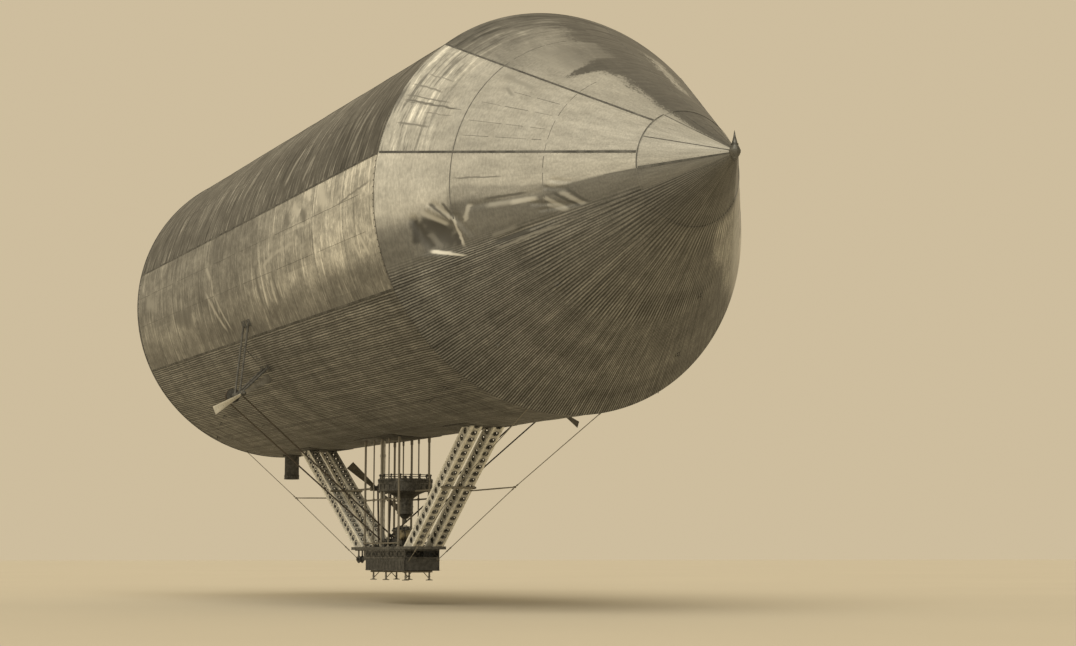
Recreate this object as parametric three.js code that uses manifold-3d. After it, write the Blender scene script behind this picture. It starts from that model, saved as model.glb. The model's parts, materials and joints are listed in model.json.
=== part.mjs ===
// A small rigid airship: a hull of thin sheet aluminium, and under it an open gondola
// carried by four perforated box girders and a cage of tubes, with three belt-driven screws.
// Millimetres. +X is the nose, +Y is port, +Z is up. The origin is the centre of lift, on the
// hull's axis. Each piece is one closed mesh, named for what it is.

import * as THREE from 'three';
import { mergeVertices } from 'three/addons/utils/BufferGeometryUtils.js';
import Module from 'manifold-3d';

const wasm = await Module();
wasm.setup();

// Driving dimensions

const GAP = 0.3;
const STARBOARD = -1;
const PORT = 1;
const SIDES = [
  { name: 'starboard', side: STARBOARD },
  { name: 'port', side: PORT },
];

const HULL = {
  halfWidth: 6000,
  halfHeight: 5850,
  sheet: 10,
  noseSheet: 12.5,
  frontRimX: 11100,
  rearRimX: -13200,
  tipX: 19800,
  capX: 17550,
  sternX: -14600,
  facets: 48,
  domeSteps: 4,
};
const SQUASH = HULL.halfHeight / HULL.halfWidth;

// Height at which a tube that runs up into the hull is well inside it
const INSIDE_HULL_Z = -5000;

const BAND = { width: 90, thickness: 14 };

// Doubler plates under the hull. Columns: name, rear x, front x.
const SADDLE = { thickness: 14, halfWidth: 900 };
const SADDLES = [
  { name: 'saddle_rear', rearX: -9500, frontX: -7500 },
  { name: 'saddle_middle', rearX: -2950, frontX: 520 },
  { name: 'saddle_front', rearX: 4500, frontX: 6150 },
];

// The spearhead that stands on the tip. Its profile lists radius and z.
const FINIAL = {
  behindTip: 140,
  profile: [[12, -220], [50, -160], [110, -80], [145, 0], [150, 50], [120, 130], [70, 250], [35, 380], [6, 560]],
};

const NECK = { x: -11800, radius: 280, wall: 12, bottomZ: -6770, lip: 22, lipDrop: 20, lipHeight: 170 };

const LEG = {
  outerY: 550,
  innerY: 200,
  depth: 470,
  sheet: 10,
  flange: 60,
  proud: 8,
  firstHole: 190,
  holePitch: 310,
  holeRadius: 80,
  faceHoleRadius: 70,
  holeSides: 6,
  bottomZ: -9500,
  footZ: -9600,
  topZ: -6000,
  trimBelow: 900,
  trimAbove: 1500,
};

// A leg's forward edge runs from its foot, at footZ, to the hull, at topZ. Columns: end, foot x, top x.
const LEGS = [
  { end: 'rear', footX: -2700, topX: -8150 },
  { end: 'front', footX: 1350, topX: 5750 },
];

const CAGE = {
  y: 550,
  postRadius: 38,
  pipeRadius: 24,
  railZ: [-7900, -9380],
  railRadius: 28,
  bottomZ: -9500,
};

// Upright tubes of the cage on each side. Columns: x, and whether it is a post or a thin pipe.
const UPRIGHTS = [
  { x: -2700, post: true },
  { x: -1930, post: false },
  { x: -1200, post: true },
  { x: -600, post: false },
  { x: 270, post: true },
];

const GAS_PIPE = { x: -1730, y: -300, radius: 86, collarRadius: 104, collarHeight: 50, collarZ: [-6400, -7960, -9460] };

const PLATFORM = {
  x: -465,
  radius: 905,
  topZ: -7230,
  bottomZ: -7640,
  plate: 30,
  rim: 40,
  hatchRadius: 300,
  ringHeight: 130,
  ringProud: 30,
  ringInset: 60,
  tubeRoom: 2,
  facets: 32,
};

// The column below the platform: a pipe, a tapered foot, the stem, and a cone under the deck
const COLUMN = {
  pipeRadius: 60,
  bottomZ: -8700,
  footRadius: 110,
  footZ: -8560,
  stemRadius: 280,
  stemZ: -8350,
  coneHeight: 240,
  coneTop: 650,
  headRise: 180,
};

const GONDOLA = {
  rearX: -2400,
  frontX: 1000,
  halfWidth: 625,
  floorZ: -10300,
  wallTopZ: -9900,
  wall: 16,
  rail: 50,
  bays: 5,
  braceRadius: 16,
  screen: 8,
};
const FLOOR_TOP_Z = GONDOLA.floorZ + 2 * GONDOLA.wall;

const CARRIER = {
  rearX: -3720,
  frontX: 1490,
  halfWidth: 640,
  top: LEG.bottomZ - GAP,
  depth: 100,
  railWidth: 110,
  crossWidth: 90,
  shoe: 30,
  shoeInnerY: 170,
};
const CARRIER_BOTTOM = CARRIER.top - CARRIER.depth;
// Rear edge of each cross bar
const CARRIER_CROSS_X = [CARRIER.rearX, GONDOLA.rearX - 90, GONDOLA.frontX - 60, CARRIER.frontX - 90];

// The sheaves that hang behind the gondola, one on each side
const SHEAVE = { x: -3500, y: 375, z: -9925, radius: 135, halfWidth: 150, cheek: 60, plate: 60 };
const REAR_BLOCK = { rearX: -2860, frontX: -2560, halfWidth: 140, depth: 360 };

const FEET = [
  { name: 'foot_rear', x: -2150 },
  { name: 'foot_middle', x: -1050 },
  { name: 'foot_front', x: 620 },
];
const FOOT = { y: 430, bottomZ: -10620, padHalf: 90, padHeight: 30, tubeRadius: 30, barHalf: 35, barDepth: 60, overhang: 100 };

const ENGINE = {
  rearX: -1230,
  frontX: -170,
  halfWidth: 190,
  bedZ: -9700,
  topZ: -9230,
  cylinders: 4,
  cylinderHeight: 330,
  headHeight: 70,
  bearerReach: 90,
  bearerWidth: 120,
  bearerInset: 60,
};
const EXHAUST = { y: 250, z: -9060, radius: 38, tailX: -60, stubRadius: 26, branchX: 0.5 };
const TANK = { x: 40, z: -9120, radius: 170, halfLength: 420, cradleHalf: 70, cradleHeight: 60, webHalfWidth: 330, webTopZ: -9200 };

const SHAFT = { radius: 32, clearance: 6, facets: 12 };
const CRANK = { rearX: -2480, z: -9380 };
const FLYWHEEL = { x: -1370, radius: 330, width: 90, rimWidth: 55, spokes: 6, hubRadius: 80 };
const BEARING = { x: -2110, halfLength: 70, halfWidth: 60, headRise: 70, standHeight: 60, standReach: 600 };
const BELT = { width: 150, thickness: 10, clearance: 8 };

// The three screws. Columns: name, hub centre, blade length, angle of the starboard blade above
// the horizontal in degrees, and x of the pulley.
const SIDE_HUB = { x: -500, y: 5800, z: -4550 };
const CENTRE_HUB = { x: -3080, z: -7450 };
const SCREWS = [
  { name: 'starboard', hub: [SIDE_HUB.x, -SIDE_HUB.y, SIDE_HUB.z], reach: 1110, angle: -32, pulleyX: -1550 },
  { name: 'port', hub: [SIDE_HUB.x, SIDE_HUB.y, SIDE_HUB.z], reach: 1110, angle: 32, pulleyX: -1740 },
  { name: 'centre', hub: [CENTRE_HUB.x, 0, CENTRE_HUB.z], reach: 1270, angle: 39, pulleyX: -2300 },
];
const PULLEY = { radius: 230, driveRadius: 170, width: 170, shaftEnd: 40 };
const HUB = { radius: 85, halfLength: 105, noseLength: 130, nosePoint: 20 };
const BLADE = {
  steps: 6,
  rootRadius: 60,
  rootHalfChord: 90,
  chordGrowth: 70,
  chordPower: 0.8,
  rootPitch: -62,
  pitchFall: -36,
  rootHalfThickness: 13,
  thicknessFall: 6,
};

// The outrigger of a side screw: its housing, and struts from two stations up to the hull
const OUTRIGGER = {
  housingX: [-1380, -760],
  housingRadius: 85,
  strutX: [-1320, -830],
  strutRadius: 34,
  innerFoot: { ahead: -500, y: 4100, z: -3000 },
  outerFoot: { ahead: 100, y: 5500, z: -1400 },
};
const CENTRE_BEARING = { x: -1930, radius: 80, halfLength: 90, armRadius: 30, shaftFrontX: -1720 };

const BOOM = { radius: 36, reach: 620, clearOfLeg: 12, frontZ: -7650, cupRadius: 75, cupLength: 180, cupWall: 20 };

// The main stays. Columns: end, where it leaves the hull, the spreader's tip, where it is made
// fast below, and where the spreader meets the leg. Each point is x, distance from the middle, z.
const STAYS = [
  { end: 'front', hull: [10950, 1200, -5700], tip: [5800, 1000, -7690], low: [990, 500, -10000], leg: [3400, 450, -7750] },
  { end: 'rear', hull: [-13050, 1500, -5630], tip: [-8500, 1000, -7640], low: [-3500, 450, -9930], leg: [-5950, 400, -7710] },
];
const STAY = { radius: 14, strutRadius: 24, knotRadius: 34 };

// Materials

const paint = (color, roughness, metalness) => new THREE.MeshStandardMaterial({ color, roughness, metalness });
const MATERIALS = {
  hullSheet: paint(0x8f8875, 0.45, 0.75),
  girder: paint(0xb9b19a, 0.5, 0.7),
  tube: paint(0x4a4436, 0.55, 0.6),
  iron: paint(0x33302a, 0.6, 0.6),
  belt: paint(0x3c3326, 0.85, 0.0),
  brass: paint(0x8a7440, 0.4, 0.8),
};

// Solids and meshes

/** A closed geometry as a solid, with shared corners joined and faces pointing out. */
function solid(geometry) {
  const bare = new THREE.BufferGeometry();
  bare.setAttribute('position', geometry.getAttribute('position').clone());
  if (geometry.index) bare.setIndex(geometry.index.clone());
  const merged = mergeVertices(bare, 1e-3);
  const position = merged.getAttribute('position').array;
  const index = merged.index.array;
  const triangles = [];
  let volume = 0;
  for (let i = 0; i < index.length; i += 3) {
    const [a, b, c] = [index[i], index[i + 1], index[i + 2]];
    if (a === b || b === c || c === a) continue;
    triangles.push(a, b, c);
    const [pa, pb, pc] = [a, b, c].map((k) => new THREE.Vector3().fromArray(position, 3 * k));
    volume += pa.dot(pb.cross(pc));
  }
  if (volume < 0) {
    for (let i = 0; i < triangles.length; i += 3) {
      [triangles[i + 1], triangles[i + 2]] = [triangles[i + 2], triangles[i + 1]];
    }
  }
  return new wasm.Manifold(new wasm.Mesh({
    numProp: 3,
    vertProperties: new Float32Array(position),
    triVerts: new Uint32Array(triangles),
  }));
}

/** A solid's surface as a geometry. */
function surface(body) {
  const mesh = body.getMesh();
  const geometry = new THREE.BufferGeometry();
  geometry.setAttribute('position', new THREE.BufferAttribute(new Float32Array(mesh.vertProperties), 3));
  geometry.setIndex(new THREE.BufferAttribute(new Uint32Array(mesh.triVerts), 1));
  geometry.computeVertexNormals();
  return geometry;
}

const joined = (bodies) => bodies.reduce((all, body) => all.add(body));

const airship = new THREE.Group();
airship.name = 'airship';

/** Adds one named piece to the airship. */
function addPiece(name, material, body) {
  const mesh = new THREE.Mesh(surface(body), material);
  mesh.name = name;
  airship.add(mesh);
}

// Plain shapes

const vector = (x, y, z) => new THREE.Vector3(x, y, z);

/** A block between two opposite corners, given in any order. */
function block(from, to) {
  const low = from.map((value, axis) => Math.min(value, to[axis]));
  const size = from.map((value, axis) => Math.abs(value - to[axis]));
  const geometry = new THREE.BoxGeometry(...size);
  geometry.translate(...low.map((value, axis) => value + size[axis] / 2));
  return solid(geometry);
}

/** A round bar from one point to another. */
function rod(from, to, radius, sides = 8, endRadius = radius) {
  const start = vector(...from);
  const along = vector(...to).sub(start);
  const geometry = new THREE.CylinderGeometry(endRadius, radius, along.length(), sides);
  geometry.translate(0, along.length() / 2, 0);
  geometry.applyQuaternion(new THREE.Quaternion().setFromUnitVectors(vector(0, 1, 0), along.normalize()));
  geometry.translate(...from);
  return solid(geometry);
}

/** A disc or drum about an axis along X, centred on a point. */
const drum = ([x, y, z], radius, width, sides = 24) =>
  rod([x - width / 2, y, z], [x + width / 2, y, z], radius, sides);

/** The room that a shaft along X needs, between two stations. */
const shaftRoom = (rearX, frontX, y, z) =>
  rod([rearX, y, z], [frontX, y, z], SHAFT.radius + SHAFT.clearance, SHAFT.facets);

/** A ring about the hull's axis. Its profile lists x and radius, and closes on itself. */
function hullRing(profile) {
  const points = [...profile, profile[0]].map(([x, radius]) => new THREE.Vector2(radius, x));
  const geometry = new THREE.LatheGeometry(points, HULL.facets);
  geometry.rotateZ(-Math.PI / 2);
  geometry.scale(1, 1, SQUASH);
  return solid(geometry);
}

/** A body turned about an upright axis. Its profile lists radius and z from the bottom up. */
function turnedBody(x, profile, facets) {
  const closed = [[0, profile[0][1]], ...profile, [0, profile[profile.length - 1][1]]];
  const geometry = new THREE.LatheGeometry(closed.map(([radius, z]) => new THREE.Vector2(radius, z)), facets);
  geometry.rotateX(Math.PI / 2);
  geometry.translate(x, 0, 0);
  return solid(geometry);
}

/** The hull's barrel as a solid that is larger all round by the given margin. */
function barrelSolid(margin) {
  const radius = HULL.halfWidth + margin;
  return hullRing([[HULL.rearRimX, 0], [HULL.rearRimX, radius], [HULL.frontRimX, radius], [HULL.frontRimX, 0]]);
}

/** A bar lofted through four-cornered sections of equal point order. */
function loft(sections) {
  const corners = sections.flat();
  const count = sections[0].length;
  const index = [];
  for (let s = 0; s < sections.length - 1; s += 1) {
    for (let k = 0; k < count; k += 1) {
      const a = s * count + k;
      const b = s * count + ((k + 1) % count);
      index.push(a, b, b + count, a, b + count, a + count);
    }
  }
  const last = (sections.length - 1) * count;
  for (let k = 1; k < count - 1; k += 1) {
    index.push(0, k + 1, k, last, last + k, last + k + 1);
  }
  const geometry = new THREE.BufferGeometry();
  geometry.setAttribute('position', new THREE.Float32BufferAttribute(corners.flat(), 3));
  geometry.setIndex(index);
  return solid(geometry);
}

// Hull

const coneRadius = (x) => HULL.halfWidth * (HULL.tipX - x) / (HULL.tipX - HULL.frontRimX);

function makeHull() {
  const { halfWidth: radius, sheet, noseSheet, rearRimX, frontRimX, tipX, capX } = HULL;
  addPiece('hull_barrel', MATERIALS.hullSheet, hullRing([
    [rearRimX, radius], [frontRimX, radius], [frontRimX, radius - sheet], [rearRimX, radius - sheet],
  ]));
  addPiece('nose_cone', MATERIALS.hullSheet, hullRing([
    [frontRimX + GAP, coneRadius(frontRimX)],
    [capX, coneRadius(capX)],
    [capX, coneRadius(capX) - noseSheet],
    [frontRimX + GAP, coneRadius(frontRimX) - noseSheet],
  ]));
  addPiece('nose_cap', MATERIALS.hullSheet, hullRing([
    [capX + GAP, coneRadius(capX)],
    [tipX, 0],
    [tipX - 2 * noseSheet, 0],
    [capX + GAP, coneRadius(capX) - noseSheet],
  ]));
}

function makeDome() {
  const { halfWidth: radius, sheet, rearRimX, sternX, domeSteps } = HULL;
  const depth = rearRimX - GAP - sternX;
  const curve = (rim, reach) => Array.from({ length: domeSteps + 1 }, (_, step) => {
    const turn = (step / domeSteps) * Math.PI / 2;
    return [rearRimX - GAP - reach * Math.sin(turn), step === domeSteps ? 0 : rim * Math.cos(turn)];
  });
  const outside = curve(radius, depth);
  const inside = curve(radius - sheet, depth - sheet);
  addPiece('rear_dome', MATERIALS.hullSheet, hullRing([...outside, ...inside.reverse()]));
}

function makeBands() {
  const half = BAND.width / 2;
  const bands = [
    { name: 'front_rim_band', x: HULL.frontRimX - half, rim: () => HULL.halfWidth, gap: GAP },
    { name: 'rear_rim_band', x: HULL.rearRimX + half, rim: () => HULL.halfWidth, gap: GAP },
    { name: 'nose_cap_band', x: HULL.capX, rim: coneRadius, gap: 2 * GAP },
  ];
  for (const { name, x, rim, gap } of bands) {
    const [low, high] = [x - half, x + half];
    addPiece(name, MATERIALS.girder, hullRing([
      [low, rim(low) + gap],
      [low, rim(low) + BAND.thickness],
      [high, rim(high) + BAND.thickness],
      [high, rim(high) + gap],
    ]));
  }
}

function makeSaddles() {
  const shell = barrelSolid(SADDLE.thickness + GAP).subtract(barrelSolid(GAP));
  for (const { name, rearX, frontX } of SADDLES) {
    const underside = block(
      [rearX, -SADDLE.halfWidth, -HULL.halfWidth - BAND.width],
      [frontX, SADDLE.halfWidth, 0],
    );
    addPiece(name, MATERIALS.girder, shell.intersect(underside));
  }
}

function makeFinial() {
  const spike = turnedBody(HULL.tipX - FINIAL.behindTip, FINIAL.profile, 16);
  const nose = hullRing([[HULL.capX, 0], [HULL.capX, coneRadius(HULL.capX) + GAP], [HULL.tipX + GAP, 0]]);
  addPiece('nose_finial', MATERIALS.iron, spike.subtract(nose));
}

function makeFillingNeck() {
  const { x, radius, wall, bottomZ, lip, lipDrop, lipHeight } = NECK;
  const lipBottom = bottomZ - lipDrop;
  const neck = rod([x, 0, bottomZ], [x, 0, INSIDE_HULL_Z], radius, 20)
    .add(rod([x, 0, lipBottom], [x, 0, lipBottom + lipHeight], radius + lip, 20))
    .subtract(rod([x, 0, lipBottom - lip], [x, 0, INSIDE_HULL_Z + lip], radius - wall, 20))
    .subtract(barrelSolid(GAP));
  addPiece('filling_neck', MATERIALS.tube, neck);
}

// Girders from the hull to the gondola

/** A leg's foot on its forward edge, its length up that edge, and the two directions of its side. */
function legFrame({ footX, topX }) {
  const foot = vector(footX, 0, LEG.footZ);
  const up = vector(topX, 0, LEG.topZ).sub(foot);
  const length = up.length();
  up.normalize();
  return { foot, up, aft: vector(-up.z, 0, up.x), length };
}

/** Gives points of a leg from the distance up it, the distance aft across it, and y. */
function legPoints(leg) {
  const { foot, up, aft } = legFrame(leg);
  return (along, across, y) => foot.clone()
    .addScaledVector(up, along).addScaledVector(aft, across).setY(y).toArray();
}

/** A straight bar along a leg, between two places across it and two widths. */
function legBar(leg, side, acrossLow, acrossHigh, yLow, yHigh, extra = 0) {
  const at = legPoints(leg);
  const section = (along) => [
    at(along, acrossLow, side * yHigh),
    at(along, acrossHigh, side * yHigh),
    at(along, acrossHigh, side * yLow),
    at(along, acrossLow, side * yLow),
  ];
  const { length } = legFrame(leg);
  return loft([section(-LEG.trimBelow - extra), section(length + LEG.trimAbove + extra)]);
}

/** A leg's outer block, widened by a margin on each side of its section. */
const legBlock = (leg, side, margin, extra = 0) =>
  legBar(leg, side, -margin, LEG.depth + margin, LEG.innerY - margin, LEG.outerY + margin, extra);

/** The four corner bars of a leg, which stand a little proud of its webs. */
function legFlanges(leg, side) {
  const { depth, flange, proud, innerY, outerY } = LEG;
  const acrossPairs = [[-proud, flange], [depth - flange, depth + proud]];
  const yPairs = [[innerY - proud, innerY + flange], [outerY - flange, outerY + proud]];
  return acrossPairs.flatMap(([acrossLow, acrossHigh]) =>
    yPairs.map(([yLow, yHigh]) => legBar(leg, side, acrossLow, acrossHigh, yLow, yHigh)));
}

function makeLegs(hullCutter) {
  const reach = 2 * HULL.halfWidth;
  const aboveCarrier = block([-reach, -reach, LEG.bottomZ], [reach, reach, 0]);
  const middleY = (LEG.outerY + LEG.innerY) / 2;
  const past = LEG.sheet * 10;
  for (const leg of LEGS) {
    const at = legPoints(leg);
    const holes = Math.floor((legFrame(leg).length - LEG.holeRadius) / LEG.holePitch);
    for (const { name, side } of SIDES) {
      let girder = legBlock(leg, side, 0).subtract(legBlock(leg, side, -LEG.sheet, past));
      for (let hole = 0; hole <= holes; hole += 1) {
        const along = LEG.firstHole + hole * LEG.holePitch;
        const between = along + LEG.holePitch / 2;
        girder = girder.subtract(rod(
          at(along, LEG.depth / 2, side * (LEG.outerY + past)),
          at(along, LEG.depth / 2, side * (LEG.innerY - past)),
          LEG.holeRadius, LEG.holeSides,
        ));
        girder = girder.subtract(rod(
          at(between, -past, side * middleY),
          at(between, LEG.depth + past, side * middleY),
          LEG.faceHoleRadius, LEG.holeSides,
        ));
      }
      girder = joined([girder, ...legFlanges(leg, side)]).intersect(aboveCarrier).subtract(hullCutter);
      addPiece(`leg_${leg.end}_${name}`, MATERIALS.girder, girder);
    }
  }
}

function makeCage(hullCutter) {
  const first = UPRIGHTS[0].x;
  const last = UPRIGHTS[UPRIGHTS.length - 1].x;
  for (const { name, side } of SIDES) {
    const y = side * CAGE.y;
    const uprights = UPRIGHTS.map(({ x, post }) =>
      rod([x, y, CAGE.bottomZ], [x, y, INSIDE_HULL_Z], post ? CAGE.postRadius : CAGE.pipeRadius));
    const rails = CAGE.railZ.map((z) => rod([first, y, z], [last, y, z], CAGE.railRadius));
    addPiece(`cage_${name}`, MATERIALS.tube, joined([...uprights, ...rails]).subtract(hullCutter));
  }
}

function makeGasPipe(hullCutter) {
  const { x, y, radius, collarRadius, collarHeight, collarZ } = GAS_PIPE;
  const collars = collarZ.map((z) => rod([x, y, z], [x, y, z + collarHeight], collarRadius, 16));
  const pipe = rod([x, y, FLOOR_TOP_Z + GAP], [x, y, INSIDE_HULL_Z], radius, 16);
  addPiece('gas_pipe', MATERIALS.girder, joined([pipe, ...collars]).subtract(hullCutter));
}

// Machinery platform between hull and gondola

function makePlatform() {
  const { x, radius, topZ, bottomZ, plate, rim, hatchRadius, ringHeight, ringProud, ringInset, facets } = PLATFORM;
  const reach = COLUMN.coneHeight;
  const tubes = joined(SIDES.flatMap(({ side }) => UPRIGHTS.map(({ x: tubeX, post }) => {
    const bore = (post ? CAGE.postRadius : CAGE.pipeRadius) + PLATFORM.tubeRoom;
    return rod([tubeX, side * CAGE.y, bottomZ - reach], [tubeX, side * CAGE.y, topZ + reach], bore);
  })));
  const ring = (low, high, outer, inner) => rod([x, 0, low], [x, 0, high], outer, facets)
    .subtract(rod([x, 0, low - rim], [x, 0, high + rim], inner, facets));
  const ringBottom = topZ - ringHeight;
  const deck = ring(bottomZ, bottomZ + plate, radius, hatchRadius);
  const hoop = ring(bottomZ, ringBottom, radius, radius - rim);
  const top = ring(ringBottom + GAP, topZ, radius + ringProud, radius - rim - ringInset);
  addPiece('platform_deck', MATERIALS.iron, deck.add(hoop).subtract(tubes));
  addPiece('platform_ring', MATERIALS.iron, top.subtract(tubes));

  const { pipeRadius, footRadius, footZ, stemRadius, stemZ, coneHeight, coneTop, headRise } = COLUMN;
  const column = turnedBody(x, [
    [pipeRadius, COLUMN.bottomZ], [pipeRadius, footZ], [footRadius, footZ], [stemRadius, stemZ],
    [stemRadius, bottomZ - coneHeight], [coneTop, bottomZ - GAP],
    [stemRadius, bottomZ - GAP], [stemRadius, bottomZ + plate + headRise],
  ], 24);
  addPiece('gear_column', MATERIALS.iron, column.subtract(tubes));
}

// Gondola

function makeTub() {
  const { rearX, frontX, halfWidth, floorZ, wallTopZ, wall } = GONDOLA;
  const room = block(
    [rearX + wall, -halfWidth + wall, FLOOR_TOP_Z],
    [frontX - wall, halfWidth - wall, wallTopZ + wall],
  );
  addPiece('gondola_tub', MATERIALS.iron,
    block([rearX, -halfWidth, floorZ], [frontX, halfWidth, wallTopZ]).subtract(room));
}

function makeLattice() {
  const { rearX, frontX, halfWidth, wallTopZ, rail, bays, braceRadius, screen } = GONDOLA;
  const low = wallTopZ + GAP;
  const high = CARRIER_BOTTOM - GAP;
  const bars = [];
  for (const z of [low, high - rail]) {
    for (const y of [-halfWidth, halfWidth - rail]) {
      bars.push(block([rearX, y, z], [frontX, y + rail, z + rail]));
    }
    for (const x of [rearX, frontX - rail]) {
      bars.push(block([x, -halfWidth, z], [x + rail, halfWidth, z + rail]));
    }
  }
  const middle = rail / 2;
  const inner = halfWidth - rail;
  for (const { side } of SIDES) {
    bars.push(block([rearX + middle, side * inner, low], [frontX - middle, side * (inner + screen), high]));
  }
  const pitch = (frontX - rearX - rail) / bays;
  for (const y of [middle - halfWidth, halfWidth - middle]) {
    for (let bay = 0; bay < bays; bay += 1) {
      const back = rearX + middle + bay * pitch;
      const front = back + pitch;
      bars.push(rod([back, y, low + middle], [front, y, high - middle], braceRadius, 4));
      bars.push(rod([front, y, low + middle], [back, y, high - middle], braceRadius, 4));
    }
  }
  addPiece('gondola_lattice', MATERIALS.girder, joined(bars));
}

/** Front and rear x of a leg's foot where it stands on the carrier. */
function legFootprint(leg) {
  const { foot, up, aft } = legFrame(leg);
  const front = foot.x + up.x * (LEG.bottomZ - foot.z) / up.z;
  return { front: front + LEG.proud / up.z, rear: front + aft.x * LEG.depth / up.z ** 2 };
}

function makeCarrier() {
  const { rearX, frontX, halfWidth, top, railWidth, crossWidth, shoe, shoeInnerY } = CARRIER;
  const bars = CARRIER_CROSS_X.map((x) =>
    block([x, -halfWidth, CARRIER_BOTTOM], [x + crossWidth, halfWidth, top]));
  for (const { side } of SIDES) {
    bars.push(block([rearX, side * halfWidth, CARRIER_BOTTOM], [frontX, side * (halfWidth - railWidth), top]));
    for (const leg of LEGS) {
      const { rear, front } = legFootprint(leg);
      bars.push(block(
        [Math.max(rear, rearX), side * shoeInnerY, top - shoe],
        [Math.min(front, frontX), side * halfWidth, top],
      ));
    }
  }
  addPiece('carrier_frame', MATERIALS.girder, joined(bars));
}

function makeRearBrackets() {
  const top = CARRIER_BOTTOM - GAP;
  const { x, z, radius, halfWidth, cheek, plate } = SHEAVE;
  for (const { name, side } of SIDES) {
    const y = side * SHEAVE.y;
    addPiece(`rear_bracket_${name}`, MATERIALS.iron, joined([
      block([x - halfWidth, y - halfWidth, top - plate], [REAR_BLOCK.frontX, y + halfWidth, top]),
      block([x - cheek, y - cheek, z], [x + cheek, y + cheek, top - plate / 2]),
      rod([x, y - halfWidth, z], [x, y + halfWidth, z], radius, 14),
      block(
        [REAR_BLOCK.rearX, y - REAR_BLOCK.halfWidth, top - REAR_BLOCK.depth],
        [REAR_BLOCK.frontX, y + REAR_BLOCK.halfWidth, top - plate / 2],
      ),
    ]));
  }
}

function makeFeet() {
  const { y: footY, bottomZ, padHalf, padHeight, tubeRadius, barHalf, barDepth, overhang } = FOOT;
  const { floorZ } = GONDOLA;
  for (const { name, x } of FEET) {
    const parts = [block(
      [x - barHalf, -footY - overhang, floorZ - barDepth],
      [x + barHalf, footY + overhang, floorZ - GAP],
    )];
    for (const { side } of SIDES) {
      const y = side * footY;
      parts.push(rod([x, y, bottomZ + padHeight / 2], [x, y, floorZ - barDepth / 2], tubeRadius));
      parts.push(block([x - padHalf, y - padHalf, bottomZ], [x + padHalf, y + padHalf, bottomZ + padHeight]));
    }
    addPiece(name, MATERIALS.tube, joined(parts));
  }
}

// Engine and drive

function makeEngine() {
  const { rearX, frontX, halfWidth, bedZ, topZ, cylinders, cylinderHeight, headHeight } = ENGINE;
  const { bearerReach, bearerWidth, bearerInset } = ENGINE;
  const overlap = bearerInset / 3;
  const parts = [block([rearX, -halfWidth, bedZ], [frontX, halfWidth, topZ])];
  for (const x of [rearX + bearerInset, frontX - bearerInset - bearerWidth]) {
    parts.push(block(
      [x, -halfWidth - bearerReach, FLOOR_TOP_Z + GAP],
      [x + bearerWidth, halfWidth + bearerReach, bedZ + overlap],
    ));
  }
  const pitch = (frontX - rearX) / cylinders;
  const cylinderTop = topZ + cylinderHeight;
  for (let cylinder = 0; cylinder < cylinders; cylinder += 1) {
    const x = rearX + (cylinder + 0.5) * pitch;
    parts.push(rod([x, 0, topZ - overlap], [x, 0, cylinderTop], pitch * 0.4, 14));
    parts.push(rod([x, 0, cylinderTop - overlap], [x, 0, cylinderTop + headHeight], pitch * 0.26, 10));
    parts.push(rod([x, 0, EXHAUST.z], [x, EXHAUST.y, EXHAUST.z], EXHAUST.stubRadius));
  }
  parts.push(rod(
    [rearX + pitch * EXHAUST.branchX - EXHAUST.radius, EXHAUST.y, EXHAUST.z],
    [EXHAUST.tailX + frontX, EXHAUST.y, EXHAUST.z],
    EXHAUST.radius, 10,
  ));
  addPiece('engine', MATERIALS.iron, joined(parts));
}

function makeTank() {
  const { x, z, radius, halfLength, cradleHalf, cradleHeight, webHalfWidth, webTopZ } = TANK;
  const bottom = CARRIER.top + GAP;
  addPiece('fuel_tank', MATERIALS.brass, joined([
    rod([x, -halfLength, z], [x, halfLength, z], radius, 18),
    block([x - cradleHalf, -BEARING.standReach, bottom], [x + cradleHalf, BEARING.standReach, bottom + cradleHeight]),
    block([x - cradleHalf, -webHalfWidth, bottom], [x + cradleHalf, webHalfWidth, webTopZ]),
  ]));
}

function makeEngineShaft() {
  const { x, radius, width, rimWidth, spokes, hubRadius } = FLYWHEEL;
  const wheel = drum([x, 0, CRANK.z], radius, width, 28)
    .subtract(drum([x, 0, CRANK.z], radius - rimWidth, 2 * width, 28));
  const arms = Array.from({ length: spokes }, (_, spoke) => {
    const turn = (spoke / spokes) * 2 * Math.PI;
    const reach = radius - rimWidth / 2;
    return rod([x, 0, CRANK.z], [x, reach * Math.cos(turn), CRANK.z + reach * Math.sin(turn)], width / 4, 6);
  });
  addPiece('crankshaft', MATERIALS.iron, joined([
    rod([CRANK.rearX, 0, CRANK.z], [ENGINE.rearX - SHAFT.clearance, 0, CRANK.z], SHAFT.radius, SHAFT.facets),
    wheel,
    drum([x, 0, CRANK.z], hubRadius, width, 12),
    ...arms,
    ...SCREWS.map(({ pulleyX }) => drum([pulleyX, 0, CRANK.z], PULLEY.driveRadius, PULLEY.width)),
  ]));

  const { x: bearingX, halfLength, halfWidth, headRise, standHeight, standReach } = BEARING;
  const bottom = CARRIER.top + GAP;
  const [back, front] = [bearingX - halfLength, bearingX + halfLength];
  addPiece('shaft_bearing', MATERIALS.iron, joined([
    block([back, -halfWidth, bottom], [front, halfWidth, CRANK.z + headRise]),
    block([back, -standReach, bottom], [front, standReach, bottom + standHeight]),
  ]).subtract(shaftRoom(back - halfLength, front + halfLength, 0, CRANK.z)));
}

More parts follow.
